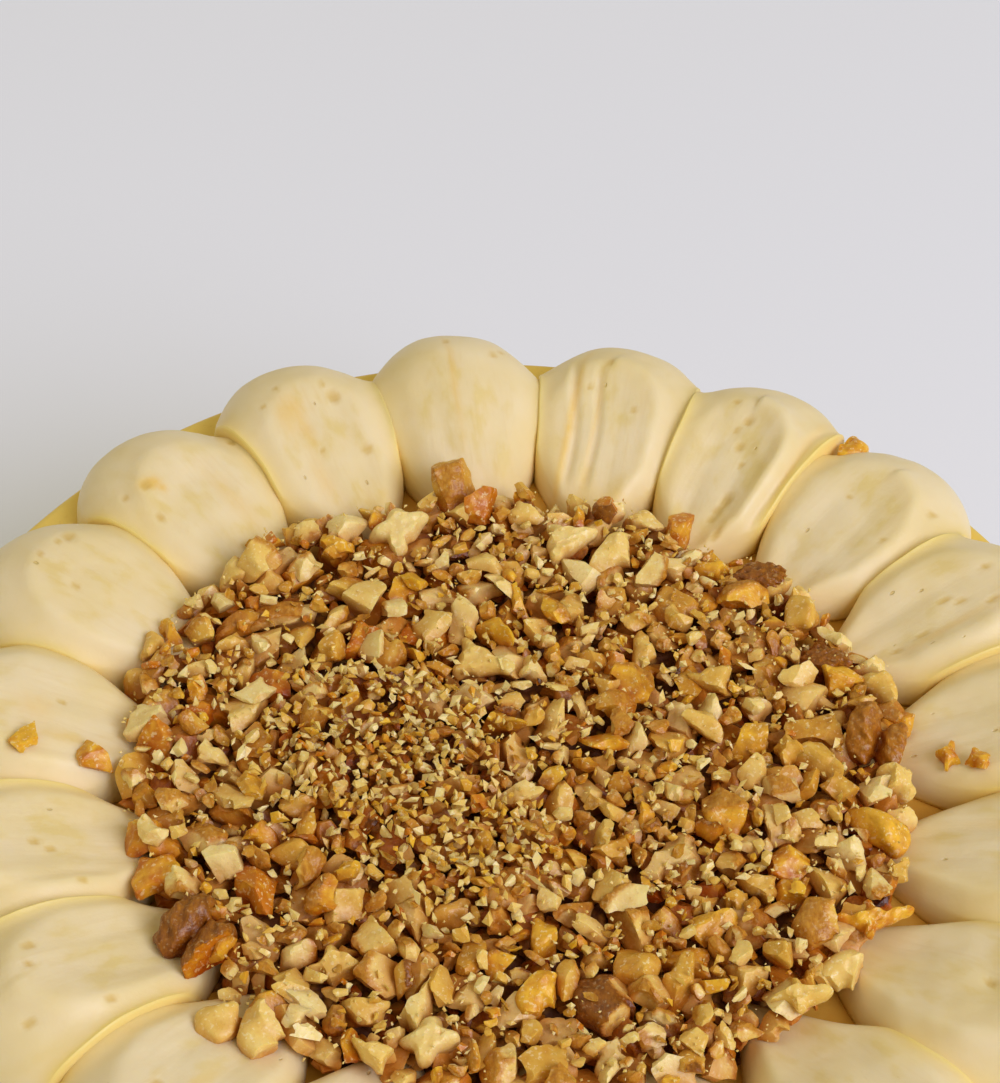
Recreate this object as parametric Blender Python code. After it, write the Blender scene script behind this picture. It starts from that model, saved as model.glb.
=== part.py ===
"""Carrot layer cake, whole and uncut, nine inches across.

A drum of layered cake under a thin coat of yellow cream carries a ring of nineteen piped
cream petals, each pulled inwards with a spatula, and a flat heap of chopped walnuts that
covers the middle and laps over the petals' inner ends.

Metres, +Z up. The origin is the middle of the underside, and the front of the cake is
towards -Y. Angles run anticlockwise from +X, so 90 degrees is the back.
"""

import math
import random

import bmesh
import bpy
from mathutils import Matrix, Vector
from mathutils.bvhtree import BVHTree

MM = 0.001

# The drum of cake
CAKE_RADIUS = 115 * MM
CAKE_HEIGHT = 85 * MM
CAKE_SIDES = 64
TOP_EDGE_RADIUS = 2.5 * MM
TOP_EDGE_STEPS = 3
FOOT_CHAMFER = 1.2 * MM
# Even waves keep the drum's outline the same on opposite sides: (waves round, depth, turn)
RIM_WAVES = ((2, 0.5 * MM, 0.6), (4, 0.35 * MM, 2.1), (6, 0.3 * MM, 0.9), (10, 0.2 * MM, 2.6))

# What touches keeps this gap
GAP = 0.3 * MM

# The ring of petals. Each row is one petal: its share of the circle in degrees, the height
# of its crest, the radius that its round end reaches, how far that end leans anticlockwise,
# how deep the spatula pressed, where it pressed (1 is the anticlockwise side, -1 the other),
# and the lip that it left on the clockwise side and on the anticlockwise side.
FIRST_PETAL_EDGE = -41.0
PETALS = (
    (20.2, 15.6, 114.0, -0.8, 2.2, 0.10, 0.7, 0.4),
    (20.3, 15.0, 114.2, -0.5, 2.0, 0.15, 0.8, 0.4),
    (19.5, 15.2, 114.4, 0.4, 2.3, -0.10, 0.8, 0.5),
    (17.8, 15.4, 114.0, -0.6, 2.4, 0.05, 0.8, 0.5),
    (18.9, 14.4, 114.4, -1.4, 2.5, 0.12, 1.2, 0.4),
    (16.8, 14.4, 114.2, -1.6, 2.5, 0.30, 1.8, 0.3),
    (18.5, 14.8, 114.2, -1.4, 1.8, 0.22, 1.0, 0.4),
    (20.0, 17.4, 113.8, 1.0, 0.8, 0.00, 0.1, 0.1),
    (18.6, 15.4, 114.2, 0.4, 1.8, 0.00, 0.3, 0.3),
    (19.4, 13.8, 114.2, 0.6, 2.0, -0.22, 0.3, 0.5),
    (20.4, 15.0, 114.0, 0.5, 1.6, -0.10, 0.3, 0.6),
    (20.6, 15.2, 114.2, 0.0, 2.2, -0.20, 0.5, 1.0),
    (18.0, 14.6, 114.4, 0.6, 2.1, -0.12, 0.5, 0.9),
    (17.0, 15.4, 114.0, -0.7, 1.9, -0.15, 0.5, 0.9),
    (18.8, 14.6, 114.2, 0.5, 2.1, 0.05, 0.6, 0.7),
    (18.8, 15.6, 113.8, -0.4, 1.9, -0.10, 0.5, 0.8),
    (18.8, 14.8, 114.2, 0.8, 2.2, 0.12, 0.8, 0.5),
    (18.8, 15.2, 114.0, 0.0, 2.0, 0.00, 0.6, 0.6),
    (18.8, 15.8, 114.4, -0.6, 2.1, 0.15, 0.8, 0.4),
)
PETAL_TAIL = 58.5 * MM          # radius where the pulled tail would run out to nothing
PETAL_INNER = 60 * MM           # radius where the tail stops against the nuts
PETAL_END_LENGTH = 19 * MM      # length of the round outer end
PETAL_HALF_WIDTH = 18.2 * MM    # before its neighbours cut it short
PETAL_EDGE = 0.995              # share of the half-width where the side drops to the foot
PETAL_LEAN_START = 86 * MM      # radius where the lean of the round end begins
PETAL_TAIL_HEIGHT = 3.0 * MM
PETAL_FULLNESS = 2.1            # 2 is a plain ellipse, more is fuller
PRESS_START = 16 * MM           # the press deepens over this length from the tail on
PRESS_ROUND = 9 * MM            # the pressed face starts to round off before the shoulder
PRESS_REACH = 5.5 * MM          # and ends this far past it
PRESS_EDGE = 0.6                # share of the pressed face that slopes down from its rim
PRESS_SPREAD = 0.72             # half-width of the pressed face, as a share of the petal's
PETAL_LEAST_RISE = 0.3          # what the press leaves of the height at the round end's foot
LIP_WIDTH = 1.8 * MM
TAIL_STATIONS = 6
END_STATIONS = 4
ACROSS_STEPS = 10
PETAL_SMOOTH_ANGLE = 50

# The heap of chopped walnuts
HEAP_SEED = 19
CORE_RADIUS = 59.0 * MM
CORE_WALL = 3.4 * MM
LIP_SETBACK = 5.0 * MM          # how far the lip stays inside the heap's outline
LIP_CLEARANCE = 0.8 * MM        # over the crest of an ordinary petal's tail
LIP_THICKNESS = 2.4 * MM
CORE_TOP = 7.2 * MM
CORE_RINGS = (0.8, 0.45)        # radii of the top's inner rings, as shares of the core's
CORE_BUMP = 0.8 * MM
CORE_SIDES = 40
# The heap's uneven outline: a middle radius and waves round it (waves round, depth, turn)
HEAP_RADIUS = 73.0 * MM
HEAP_WAVES = ((1, 3.75 * MM, 2.32), (2, 1.2 * MM, 0.44), (3, 1.75 * MM, 4.98),
              (5, 1.0 * MM, 5.07), (7, 1.1 * MM, 2.6), (12, 0.8 * MM, 3.14))
# The finest crumbs lie in a patch left of the middle, with no large piece in it
CRUMB_PATCH_CENTRE = (-22 * MM, -8 * MM)
CRUMB_PATCH_RADIUS = 21 * MM
CRUMB_PATCH_LARGEST = 6.75 * MM
PIECE_TRIES = 12000
PIECE_COUNT = 330
EDGE_PIECES = 54
EDGE_SIZES = (0.75, 1.05)       # of the largest size
EDGE_JITTER = 0.25              # of the step between two edge pieces
EDGE_SPACING = 0.3              # of two pieces' sizes added up
EDGE_HEIGHT = 0.7
PIECE_LARGEST = 9.0 * MM
PIECE_SMALLEST = 5.4 * MM
PIECE_LENGTHS = (1.0, 1.35)     # of a piece's size
PIECE_WIDTHS = (0.8, 1.0)
PIECE_HEIGHTS = (0.55, 0.85)
PIECE_SPACING = 0.40            # of two pieces' sizes added up
PIECE_POINTS = 8
PIECE_SWELL = (0.8, 1.12)       # how far a corner stands off the flattened ball
PIECE_TILT = 0.45               # radians
PIECE_REST_HEIGHT = 8.0 * MM
PIECE_REST_SPREAD = 0.6 * MM
EDGE_RISE = 0.12                # pieces over the petals' tails climb this steeply
PIECE_REST_SHARE = 0.1          # a thicker piece sits this much of its height further up
LIFT_STEP = 0.4 * MM            # a piece that crosses a petal is raised by steps
LIFT_STEPS = 14
# Pieces that stand out: angle, radius, then length, width and height
BIG_PIECES = (
    (105.6, 62.5, 10.0, 9.0, 11.0),
    (5.6, 64.5, 16.0, 12.0, 10.0),
    (219.5, 67.0, 17.0, 14.0, 10.0),
    (349.5, 64.5, 12.0, 11.0, 9.0),
    (5.5, 39.4, 12.0, 8.0, 5.0),
    (42.9, 24.4, 10.0, 8.5, 6.0),
    (132.9, 47.6, 11.0, 9.0, 7.0),
    (48.2, 62.0, 12.0, 7.0, 5.0),
    (113.3, 22.2, 13.0, 9.0, 5.0),
    (179.4, 70.5, 12.0, 9.0, 6.0),
    (55.8, 45.9, 12.0, 9.0, 4.0),
    (149.3, 56.6, 13.0, 7.0, 5.0),
    (25.7, 59.0, 13.0, 8.0, 5.0),
    (325.7, 60.9, 12.0, 9.0, 6.0),
    (232.0, 72.5, 12.0, 9.0, 7.0),
    (257.4, 63.6, 13.0, 8.0, 6.0),
    (83.3, 51.5, 12.0, 8.0, 6.0),
)
# Stray bits on the petals: petal number, angle, radius, length, width
STRAY_PIECES = (
    (12, 185.0, 88.5, 7.0, 4.5),
    (12, 186.0, 77.5, 8.0, 5.5),
    (3, 4.5, 75.6, 7.0, 5.0),
    (3, 2.5, 80.5, 6.0, 4.5),
    (5, 53.8, 104.4, 7.5, 5.0),
)
STRAY_HEIGHT = 4.0 * MM
STRAY_REST_SHARE = 0.2          # how much of its height its middle lies over the petal
STRAY_TILT = 0.2

# Colours as seen, red, green and blue out of 255
COAT_COLOUR = (231, 199, 118)
PETAL_COLOUR = (232, 213, 172)
NUT_COLOUR = (172, 118, 55)


def linear(colour):
    """A screen colour as the shader wants it."""
    return tuple(((c / 255 + 0.055) / 1.055) ** 2.4 for c in colour) + (1.0,)


def new_material(name, colour, roughness):
    material = bpy.data.materials.new(name)
    material.use_nodes = True
    shader = material.node_tree.nodes["Principled BSDF"]
    shader.inputs["Base Color"].default_value = linear(colour)
    shader.inputs["Roughness"].default_value = roughness
    shader.inputs["Metallic"].default_value = 0.0
    return material


def new_object(name, mesh_builder, material, smooth_angle=35):
    """A named object from a bmesh, shaded smooth but for its sharp edges."""
    mesh = bpy.data.meshes.new(name)
    bmesh.ops.recalc_face_normals(mesh_builder, faces=mesh_builder.faces)
    mesh_builder.to_mesh(mesh)
    mesh_builder.free()
    mesh.shade_smooth()
    mesh.set_sharp_from_angle(angle=math.radians(smooth_angle))
    mesh.materials.append(material)
    made = bpy.data.objects.new(name, mesh)
    bpy.context.scene.collection.objects.link(made)
    return made


def waves(angle, wave_rows):
    """The sum of some waves round the circle."""
    return sum(depth * math.cos(count * angle + turn) for count, depth, turn in wave_rows)


def smooth_step(t):
    t = min(max(t, 0.0), 1.0)
    return t * t * (3 - 2 * t)


def loft(builder, rings):
    """Skin a row of closed rings of points; the last may be a single point."""
    layers = [[builder.verts.new(point) for point in ring] for ring in rings]
    for lower, upper in zip(layers, layers[1:]):
        count = len(lower)
        for i in range(count):
            j = (i + 1) % count
            if len(upper) == 1:
                builder.faces.new((lower[i], lower[j], upper[0]))
            else:
                builder.faces.new((lower[i], lower[j], upper[j], upper[i]))
    builder.faces.new(layers[0][::-1])
    if len(layers[-1]) > 2:
        builder.faces.new(layers[-1])


def turned_ring(radius_at, height_at, sides):
    """One ring round the Z axis, its radius and height read at each angle."""
    points = []
    for i in range(sides):
        angle = 2 * math.pi * i / sides
        radius = radius_at(angle)
        x = radius * math.cos(angle)
        y = radius * math.sin(angle)
        points.append(Vector((x, y, height_at(angle))))
    return points


def make_cake(material):
    """The drum: flat underside, straight side, rounded top edge and flat top."""
    levels = [(-FOOT_CHAMFER, 0.0), (0.0, FOOT_CHAMFER)]
    for i in range(TOP_EDGE_STEPS + 1):
        turn = math.pi / 2 * i / TOP_EDGE_STEPS
        inset = TOP_EDGE_RADIUS * (math.cos(turn) - 1)
        rise = TOP_EDGE_RADIUS * (math.sin(turn) - 1)
        levels.append((inset, CAKE_HEIGHT + rise))
    rings = []
    for inset, height in levels:
        rings.append(turned_ring(
            lambda angle: CAKE_RADIUS + waves(angle, RIM_WAVES) + inset,
            lambda angle: height, CAKE_SIDES))
    builder = bmesh.new()
    loft(builder, rings)
    return new_object("iced_cake", builder, material)


class Petal:
    """One piped petal in its own frame: X runs outwards from the cake's centre."""

    def __init__(self, row, edge_angle):
        share, crest, reach, lean, press, side, clockwise_lip, other_lip = row
        self.half_share = math.radians(share / 2)
        self.angle = math.radians(edge_angle + share / 2)
        self.crest = crest * MM
        self.reach = reach * MM
        self.lean = lean * MM
        self.press = press * MM
        self.side = side
        self.lips = (clockwise_lip * MM, other_lip * MM)
        self.shoulder = self.reach - PETAL_END_LENGTH

    def round_end(self, radius):
        """1 up to the shoulder, then falling to 0 where the round end reaches."""
        along = min(max((radius - self.shoulder) / PETAL_END_LENGTH, 0.0), 1.0)
        return (1 - along ** PETAL_FULLNESS) ** (1 / PETAL_FULLNESS)

    def outline(self, radius):
        """Middle and half-width of the leaning teardrop, as if it had no neighbours."""
        if radius > self.shoulder:
            shape = self.round_end(radius)
        else:
            shape = math.sin(math.pi / 2 * (radius - PETAL_TAIL) / (self.shoulder - PETAL_TAIL))
        start = PETAL_LEAN_START
        middle = self.lean * smooth_step((radius - start) / (self.reach - start))
        return middle, PETAL_HALF_WIDTH * shape

    def sides(self, radius):
        """Where the petal's two sides are, cut short where its neighbours begin."""
        middle, half_width = self.outline(radius)
        limit = radius * math.tan(self.half_share) - GAP / 2 / math.cos(self.half_share)
        natural = PETAL_EDGE * half_width
        return max(middle - natural, -limit), min(middle + natural, limit)

    def crest_height(self, radius):
        """Height of the middle line before the spatula's press."""
        if radius > self.shoulder:
            return self.crest * self.round_end(radius)
        along = (radius - PETAL_INNER) / (self.shoulder - PETAL_INNER)
        rise = 0.5 * smooth_step(along) + 0.5 * math.sin(math.pi / 2 * along)
        return PETAL_TAIL_HEIGHT + (self.crest - PETAL_TAIL_HEIGHT) * rise

    def pressed(self, radius, offset, width):
        """How far the spatula lowers the surface, less the rim that it raises."""
        inner = smooth_step((radius - PETAL_INNER) / PRESS_START)
        spread = PRESS_SPREAD * width
        offset = offset - self.side * (width - spread)
        round_start = self.shoulder - PRESS_ROUND
        along = max(0.0, radius - round_start) / (PRESS_ROUND + PRESS_REACH)
        place = math.hypot(offset / spread, along)
        hollow = smooth_step((1 - place) / PRESS_EDGE)
        lip = self.lips[0] if offset < 0 else self.lips[1]
        ridge = lip * math.exp(-((place - 1) * spread / LIP_WIDTH) ** 2)
        return inner * (self.press * hollow - ridge)

    def section(self, radius):
        """The closed outline across the petal at one radius, foot to foot over the top."""
        low, high = self.sides(radius)
        middle, half_width = self.outline(radius)
        width = (high - low) / 2
        crest = self.crest_height(radius)
        points = [Vector((radius, low, GAP))]
        for i in range(ACROSS_STEPS + 1):
            swing = math.sin(math.pi * (i / ACROSS_STEPS - 0.5))
            across = (low + high) / 2 + width * swing
            share = abs(across - middle) / half_width
            rise = crest * (1 - share ** PETAL_FULLNESS) ** (1 / PETAL_FULLNESS)
            above = max(rise - self.pressed(radius, width * swing, width), PETAL_LEAST_RISE * rise)
            points.append(Vector((radius, across, GAP + above)))
        points.append(Vector((radius, high, GAP)))
        return points

    def stations(self):
        """Radii of the sections, closer together over the round end."""
        radii = []
        for i in range(TAIL_STATIONS):
            along = i / TAIL_STATIONS
            radii.append(PETAL_INNER + (self.shoulder - PETAL_INNER) * along)
        for i in range(END_STATIONS):
            turn = math.pi / 2 * i / END_STATIONS
            radii.append(self.shoulder + PETAL_END_LENGTH * math.sin(turn))
        return radii

    def build(self):
        builder = bmesh.new()
        rings = [self.section(radius) for radius in self.stations()]
        rings.append([Vector((self.reach, 0.0, GAP))])
        loft(builder, rings)
        bmesh.ops.triangulate(builder, faces=builder.faces)
        return builder


def petal_row():
    """Every petal of the ring, starting at the front right."""
    made = []
    edge = FIRST_PETAL_EDGE
    for row in PETALS:
        made.append(Petal(row, edge))
        edge += row[0]
    return made


def chunk(draw, length, width, height, points=PIECE_POINTS):
    """A broken piece of nut: the hull of a few points on an uneven flattened ball."""
    builder = bmesh.new()
    golden = math.pi * (3 - math.sqrt(5))
    for i in range(points):
        level = 1 - 2 * (i + 0.5) / points
        ring = math.sqrt(1 - level * level)
        turn = golden * i + draw.uniform(-0.5, 0.5)
        swell = draw.uniform(*PIECE_SWELL)
        builder.verts.new((
            length / 2 * swell * ring * math.cos(turn),
            width / 2 * swell * ring * math.sin(turn),
            height / 2 * swell * level))
    result = bmesh.ops.convex_hull(builder, input=builder.verts)
    inside = [part for part in result["geom_interior"] if isinstance(part, bmesh.types.BMVert)]
    bmesh.ops.delete(builder, geom=inside, context="VERTS")
    bmesh.ops.recalc_face_normals(builder, faces=builder.faces)
    return builder


def placed(builder, centre, draw, tilt):
    """Turn a chunk about Z by any angle and tip it by up to the tilt, then carry it there."""
    turn = Matrix.Rotation(draw.uniform(0, 2 * math.pi), 4, "Z")
    tip = Matrix.Rotation(draw.uniform(-tilt, tilt), 4, "X")
    bmesh.ops.transform(builder, matrix=Matrix.Translation(centre) @ turn @ tip,
                        verts=builder.verts)


def object_tree(made, lift=0.0):
    """A search tree over an object's faces where they stand, raised by the lift."""
    builder = bmesh.new()
    builder.from_mesh(made.data)
    bmesh.ops.transform(builder, matrix=Matrix.Translation((0, 0, lift)) @ made.matrix_world,
                        verts=builder.verts)
    tree = BVHTree.FromBMesh(builder)
    builder.free()
    return tree


def keep_clear(builder, trees):
    """Raise a piece until it crosses none of the trees; say whether that worked."""
    for _ in range(LIFT_STEPS):
        own = BVHTree.FromBMesh(builder)
        if not any(own.overlap(tree) for tree in trees):
            return True
        bmesh.ops.translate(builder, verts=builder.verts, vec=(0, 0, LIFT_STEP))
    return False


def fuse(base, builders):
    """Join closed chunks, made where they lie on the cake, to an object by one Boolean union."""
    pieces = bpy.data.collections.new(base.name + "_pieces")
    bpy.context.scene.collection.children.link(pieces)
    for i, builder in enumerate(builders):
        mesh = bpy.data.meshes.new(f"{base.name}_piece_{i}")
        builder.to_mesh(mesh)
        builder.free()
        pieces.objects.link(bpy.data.objects.new(mesh.name, mesh))
    union = base.modifiers.new("fused pieces", "BOOLEAN")
    union.operation = "UNION"
    union.operand_type = "COLLECTION"
    union.collection = pieces
    union.solver = "MANIFOLD"
    bpy.context.view_layer.update()
    graph = bpy.context.evaluated_depsgraph_get()
    joined = bpy.data.meshes.new_from_object(base.evaluated_get(graph))
    base.modifiers.remove(union)
    material = base.data.materials[0]
    for made in list(pieces.objects):
        bpy.data.objects.remove(made)
    bpy.data.collections.remove(pieces)
    builder = bmesh.new()
    builder.from_mesh(joined)
    bmesh.ops.triangulate(builder, faces=builder.faces)
    keep_largest_body(builder)
    builder.to_mesh(base.data)
    builder.free()
    bpy.data.meshes.remove(joined)
    base.data.materials.clear()
    base.data.materials.append(material)


def keep_largest_body(builder):
    """Drop loose scraps and the walls of sealed hollows."""
    bodies = []
    unseen = set(builder.faces)
    while unseen:
        front = [unseen.pop()]
        body = list(front)
        while front:
            face = front.pop()
            for edge in face.edges:
                for near in edge.link_faces:
                    if near in unseen:
                        unseen.remove(near)
                        front.append(near)
                        body.append(near)
        bodies.append(body)
    bodies.sort(key=len)
    scraps = [face for body in bodies[:-1] for face in body]
    bmesh.ops.delete(builder, geom=scraps, context="FACES")


def make_petals(material, stray_material):
    """The ring of petals, with the stray bits of nut fused to those that they lie on."""
    made = []
    for i, petal in enumerate(petal_row()):
        body = new_object(f"petal_{i + 1:02d}", petal.build(), material, PETAL_SMOOTH_ANGLE)
        body.location = (0, 0, CAKE_HEIGHT)
        body.rotation_euler = (0, 0, petal.angle)
        made.append(body)
    bpy.context.view_layer.update()
    draw = random.Random(HEAP_SEED + 1)
    for number in sorted({row[0] for row in STRAY_PIECES}):
        body = made[number - 1]
        tree = object_tree(body)
        bits = []
        for _, angle, radius, length, width in [row for row in STRAY_PIECES if row[0] == number]:
            turn = math.radians(angle)
            above = 2 * CAKE_HEIGHT
            spot = Vector((radius * MM * math.cos(turn), radius * MM * math.sin(turn), above))
            surface = tree.ray_cast(spot, Vector((0, 0, -1)))[0]
            bit = chunk(draw, length * MM, width * MM, STRAY_HEIGHT)
            rest = Vector((0, 0, STRAY_REST_SHARE * STRAY_HEIGHT))
            placed(bit, surface + rest, draw, STRAY_TILT)
            bits.append(bit)
        fuse(body, bits)
        body.data.materials.append(stray_material)
    return made


def heap_outline(angle):
    return HEAP_RADIUS + waves(angle, HEAP_WAVES)


def lip_radius(angle):
    """The lip follows the heap's outline, but never runs inside the core's wall."""
    return max(CORE_RADIUS + LIP_CLEARANCE, heap_outline(angle) - LIP_SETBACK)


def make_core(material, petals):
    """The heap's core: a wall inside the petals' tails and a lip that spreads over them."""
    draw = random.Random(HEAP_SEED)

    def lip_underside(angle):
        tallest = max(petal.crest_height(lip_radius(angle)) for petal in petals)
        return GAP + LIP_CLEARANCE + tallest

    def lip_top(angle):
        return lip_underside(angle) + LIP_THICKNESS

    rings = [
        turned_ring(lambda angle: CORE_RADIUS, lambda angle: GAP, CORE_SIDES),
        turned_ring(lambda angle: CORE_RADIUS, lambda angle: CORE_WALL, CORE_SIDES),
        turned_ring(lip_radius, lip_underside, CORE_SIDES),
        turned_ring(lip_radius, lip_top, CORE_SIDES)]
    for share in CORE_RINGS:
        ring = turned_ring(
            lambda angle: share * CORE_RADIUS,
            lambda angle: CORE_TOP + draw.uniform(-1, 1) * CORE_BUMP, CORE_SIDES)
        rings.append(ring)
    rings.append([Vector((0, 0, CORE_TOP))])
    builder = bmesh.new()
    loft(builder, rings)
    bmesh.ops.triangulate(builder, faces=builder.faces)
    core = new_object("walnut_heap", builder, material)
    core.location = (0, 0, CAKE_HEIGHT)
    return core


def piece_places(draw):
    """Spread places for pieces over the heap, the largest first, none on the crumb patch."""
    places = []
    for angle, radius, length, width, height in BIG_PIECES:
        turn = math.radians(angle)
        places.append((radius * MM * math.cos(turn), radius * MM * math.sin(turn),
                       length * MM, width * MM, height * MM))
    for i in range(EDGE_PIECES):
        size = PIECE_LARGEST * draw.uniform(*EDGE_SIZES)
        turn = 2 * math.pi * (i + draw.uniform(-EDGE_JITTER, EDGE_JITTER)) / EDGE_PIECES
        radius = heap_outline(turn) - size / 2
        x = radius * math.cos(turn)
        y = radius * math.sin(turn)
        if any(math.dist((x, y), (p[0], p[1])) < EDGE_SPACING * (size + p[2]) for p in places):
            continue
        places.append((x, y, size * draw.uniform(*PIECE_LENGTHS), size, EDGE_HEIGHT * size))
    for i in range(PIECE_TRIES):
        if len(places) == PIECE_COUNT:
            break
        size = PIECE_LARGEST + (PIECE_SMALLEST - PIECE_LARGEST) * i / PIECE_TRIES
        turn = draw.uniform(0, 2 * math.pi)
        limit = heap_outline(turn) - size / 2
        radius = limit * math.sqrt(draw.random())
        x = radius * math.cos(turn)
        y = radius * math.sin(turn)
        in_patch = math.dist((x, y), CRUMB_PATCH_CENTRE) < CRUMB_PATCH_RADIUS
        if in_patch and size > CRUMB_PATCH_LARGEST:
            continue
        if any(math.dist((x, y), (p[0], p[1])) < PIECE_SPACING * (size + p[2]) for p in places):
            continue
        places.append((x, y, size * draw.uniform(*PIECE_LENGTHS),
                       size * draw.uniform(*PIECE_WIDTHS), size * draw.uniform(*PIECE_HEIGHTS)))
    return places


def make_heap(material, petals):
    """The core with the pieces that show fused on, out to the heap's uneven outline."""
    core = make_core(material, petal_row())
    trees = [object_tree(petal, GAP) for petal in petals]
    draw = random.Random(HEAP_SEED)
    pieces = []
    for x, y, length, width, height in piece_places(draw):
        bit = chunk(draw, length, width, height)
        spread = draw.uniform(-1, 1) * PIECE_REST_SPREAD
        past_core = max(0.0, math.hypot(x, y) - CORE_RADIUS)
        rest = PIECE_REST_HEIGHT + spread + PIECE_REST_SHARE * height + EDGE_RISE * past_core
        placed(bit, Vector((x, y, CAKE_HEIGHT + rest)), draw, PIECE_TILT)
        if keep_clear(bit, trees):
            pieces.append(bit)
        else:
            bit.free()
    fuse(core, pieces)
    return core


def main():
    for old in list(bpy.data.objects):
        bpy.data.objects.remove(old)
    coat = new_material("yellow_cream_coat", COAT_COLOUR, 0.45)
    cream = new_material("piped_cream", PETAL_COLOUR, 0.5)
    nut = new_material("chopped_walnut", NUT_COLOUR, 0.55)
    make_cake(coat)
    petals = make_petals(cream, nut)
    make_heap(nut, petals)


main()
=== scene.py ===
# %% [markdown]
# # A carrot layer cake with piped petals and chopped walnuts
# This lesson dresses a whole cake. Its solids are loaded first and never move: a drum of cake
# under a thin coat of cream, nineteen piped petals round the top, and a flat heap of chopped
# walnuts in the middle. Each of them is then replaced by a finer piece that stands in the same
# place and has the same form. Lengths are in metres, and most are written as so many MM.

# %% Load the solids
import math

import bpy
import numpy as np
from mathutils import Matrix, Vector


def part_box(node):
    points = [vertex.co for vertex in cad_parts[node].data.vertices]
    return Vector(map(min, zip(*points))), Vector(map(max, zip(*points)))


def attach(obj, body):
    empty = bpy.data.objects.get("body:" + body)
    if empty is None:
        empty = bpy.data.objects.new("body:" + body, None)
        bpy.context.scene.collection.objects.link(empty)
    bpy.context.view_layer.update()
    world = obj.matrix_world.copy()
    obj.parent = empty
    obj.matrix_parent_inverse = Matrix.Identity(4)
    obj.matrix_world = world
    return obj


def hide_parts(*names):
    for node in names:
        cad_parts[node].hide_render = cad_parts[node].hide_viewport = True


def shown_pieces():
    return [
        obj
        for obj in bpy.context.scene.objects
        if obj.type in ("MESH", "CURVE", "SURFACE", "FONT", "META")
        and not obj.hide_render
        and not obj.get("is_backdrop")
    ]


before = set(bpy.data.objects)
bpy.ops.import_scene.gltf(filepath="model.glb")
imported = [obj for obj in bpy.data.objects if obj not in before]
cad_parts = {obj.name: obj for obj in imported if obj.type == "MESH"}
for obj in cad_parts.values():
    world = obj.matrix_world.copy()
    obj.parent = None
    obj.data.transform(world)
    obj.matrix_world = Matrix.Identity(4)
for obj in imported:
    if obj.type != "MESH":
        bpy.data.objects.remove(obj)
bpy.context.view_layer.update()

MM = 0.001
drum_low, drum_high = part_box("iced_cake")
TOP = drum_high.z
print(f"{len(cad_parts)} solids, the drum's top is {TOP / MM:.1f} mm up")

# %% [markdown]
# ## Where the eye is
# The photograph looks down on the cake at about 46 degrees through a long lens, so that the
# ring of petals is a wide ellipse. The lens, the distance and the tilt below were worked out
# from that ellipse: its width, its height and how much larger the near nuts look than the far
# ones. The camera is turned a little about its own axis, because the cake stands askew.

# %% Camera
FRAME_WIDTH, FRAME_HEIGHT = 1000, 1083
LENS_PIXELS = 2600
CAKE_RADIUS = 115 * MM
EYE_DISTANCE = 4.11463 * CAKE_RADIUS
EYE_PITCH = 0.80271
EYE_ROLL = 0.064932
MIDDLE_PIXEL = (527.07, 784.41)      # where the middle of the cake's top is seen


def photo_camera():
    """A camera whose picture lies over the photograph."""
    forward = Vector((0, math.cos(EYE_PITCH), -math.sin(EYE_PITCH)))
    level = Vector((1, 0, 0))
    upright = level.cross(forward)
    right = math.cos(EYE_ROLL) * level + math.sin(EYE_ROLL) * upright
    up = math.cos(EYE_ROLL) * upright - math.sin(EYE_ROLL) * level
    across = (MIDDLE_PIXEL[0] - FRAME_WIDTH / 2) / LENS_PIXELS
    down = (MIDDLE_PIXEL[1] - FRAME_HEIGHT / 2) / LENS_PIXELS
    ray = (across * right - down * up + forward).normalized()
    place = Vector((0, 0, TOP)) - EYE_DISTANCE * ray
    lens = bpy.data.cameras.new("camera")
    lens.sensor_fit = "VERTICAL"
    lens.sensor_height = 36
    lens.lens = LENS_PIXELS / FRAME_HEIGHT * lens.sensor_height
    made = bpy.data.objects.new("camera", lens)
    made.matrix_world = Matrix((
        (right.x, up.x, -forward.x, place.x),
        (right.y, up.y, -forward.y, place.y),
        (right.z, up.z, -forward.z, place.z),
        (0, 0, 0, 1)))
    bpy.context.scene.collection.objects.link(made)
    return made


camera = photo_camera()
bpy.context.scene.camera = camera
bpy.context.scene.view_settings.view_transform = "Standard"
print(f"lens {camera.data.lens:.1f} mm, eye at {[round(v, 3) for v in camera.location]} m")

# %% [markdown]
# ## Soft studio light
# A wide soft lamp in front of the cake, to its right, lights it, and a weak one behind it draws
# out the far petals. The first is far enough away to light the floor evenly, and high enough
# that the cake's shadow stays short. A warm sky fills the shadows, as the walls of a room do.
# The lamps are a little blue and the sky is yellow, so lit cream is white and shaded cream is
# yellow, while the pale floor, which gets both, stays nearly grey.

# %% Lamps and sky
LAMPS = (  # name, direction in degrees, height in degrees, distance, width, power in watts
    ("right lamp", -34, 42, 2.40, 1.50, 40.0),
    ("back lamp", 150, 50, 1.40, 0.90, 1.2),
)
LAMP_COLOUR = (0.97, 0.97, 1.17)
SKY_COLOUR = (1.0, 0.89, 0.54)
SKY_STRENGTH = 0.45


def add_lamp(name, direction, height, distance, width, power):
    """A square soft lamp that looks at the top of the cake."""
    turn = math.radians(direction)
    rise = math.radians(height)
    light = bpy.data.lights.new(name, "AREA")
    light.size = width
    light.energy = power
    light.color = LAMP_COLOUR
    lamp = bpy.data.objects.new(name, light)
    away = Vector((math.cos(turn) * math.cos(rise), math.sin(turn) * math.cos(rise),
                   math.sin(rise)))
    lamp.location = Vector((0, 0, TOP)) + distance * away
    lamp.rotation_euler = (-away).to_track_quat("-Z", "Y").to_euler()
    bpy.context.scene.collection.objects.link(lamp)
    return lamp


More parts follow.
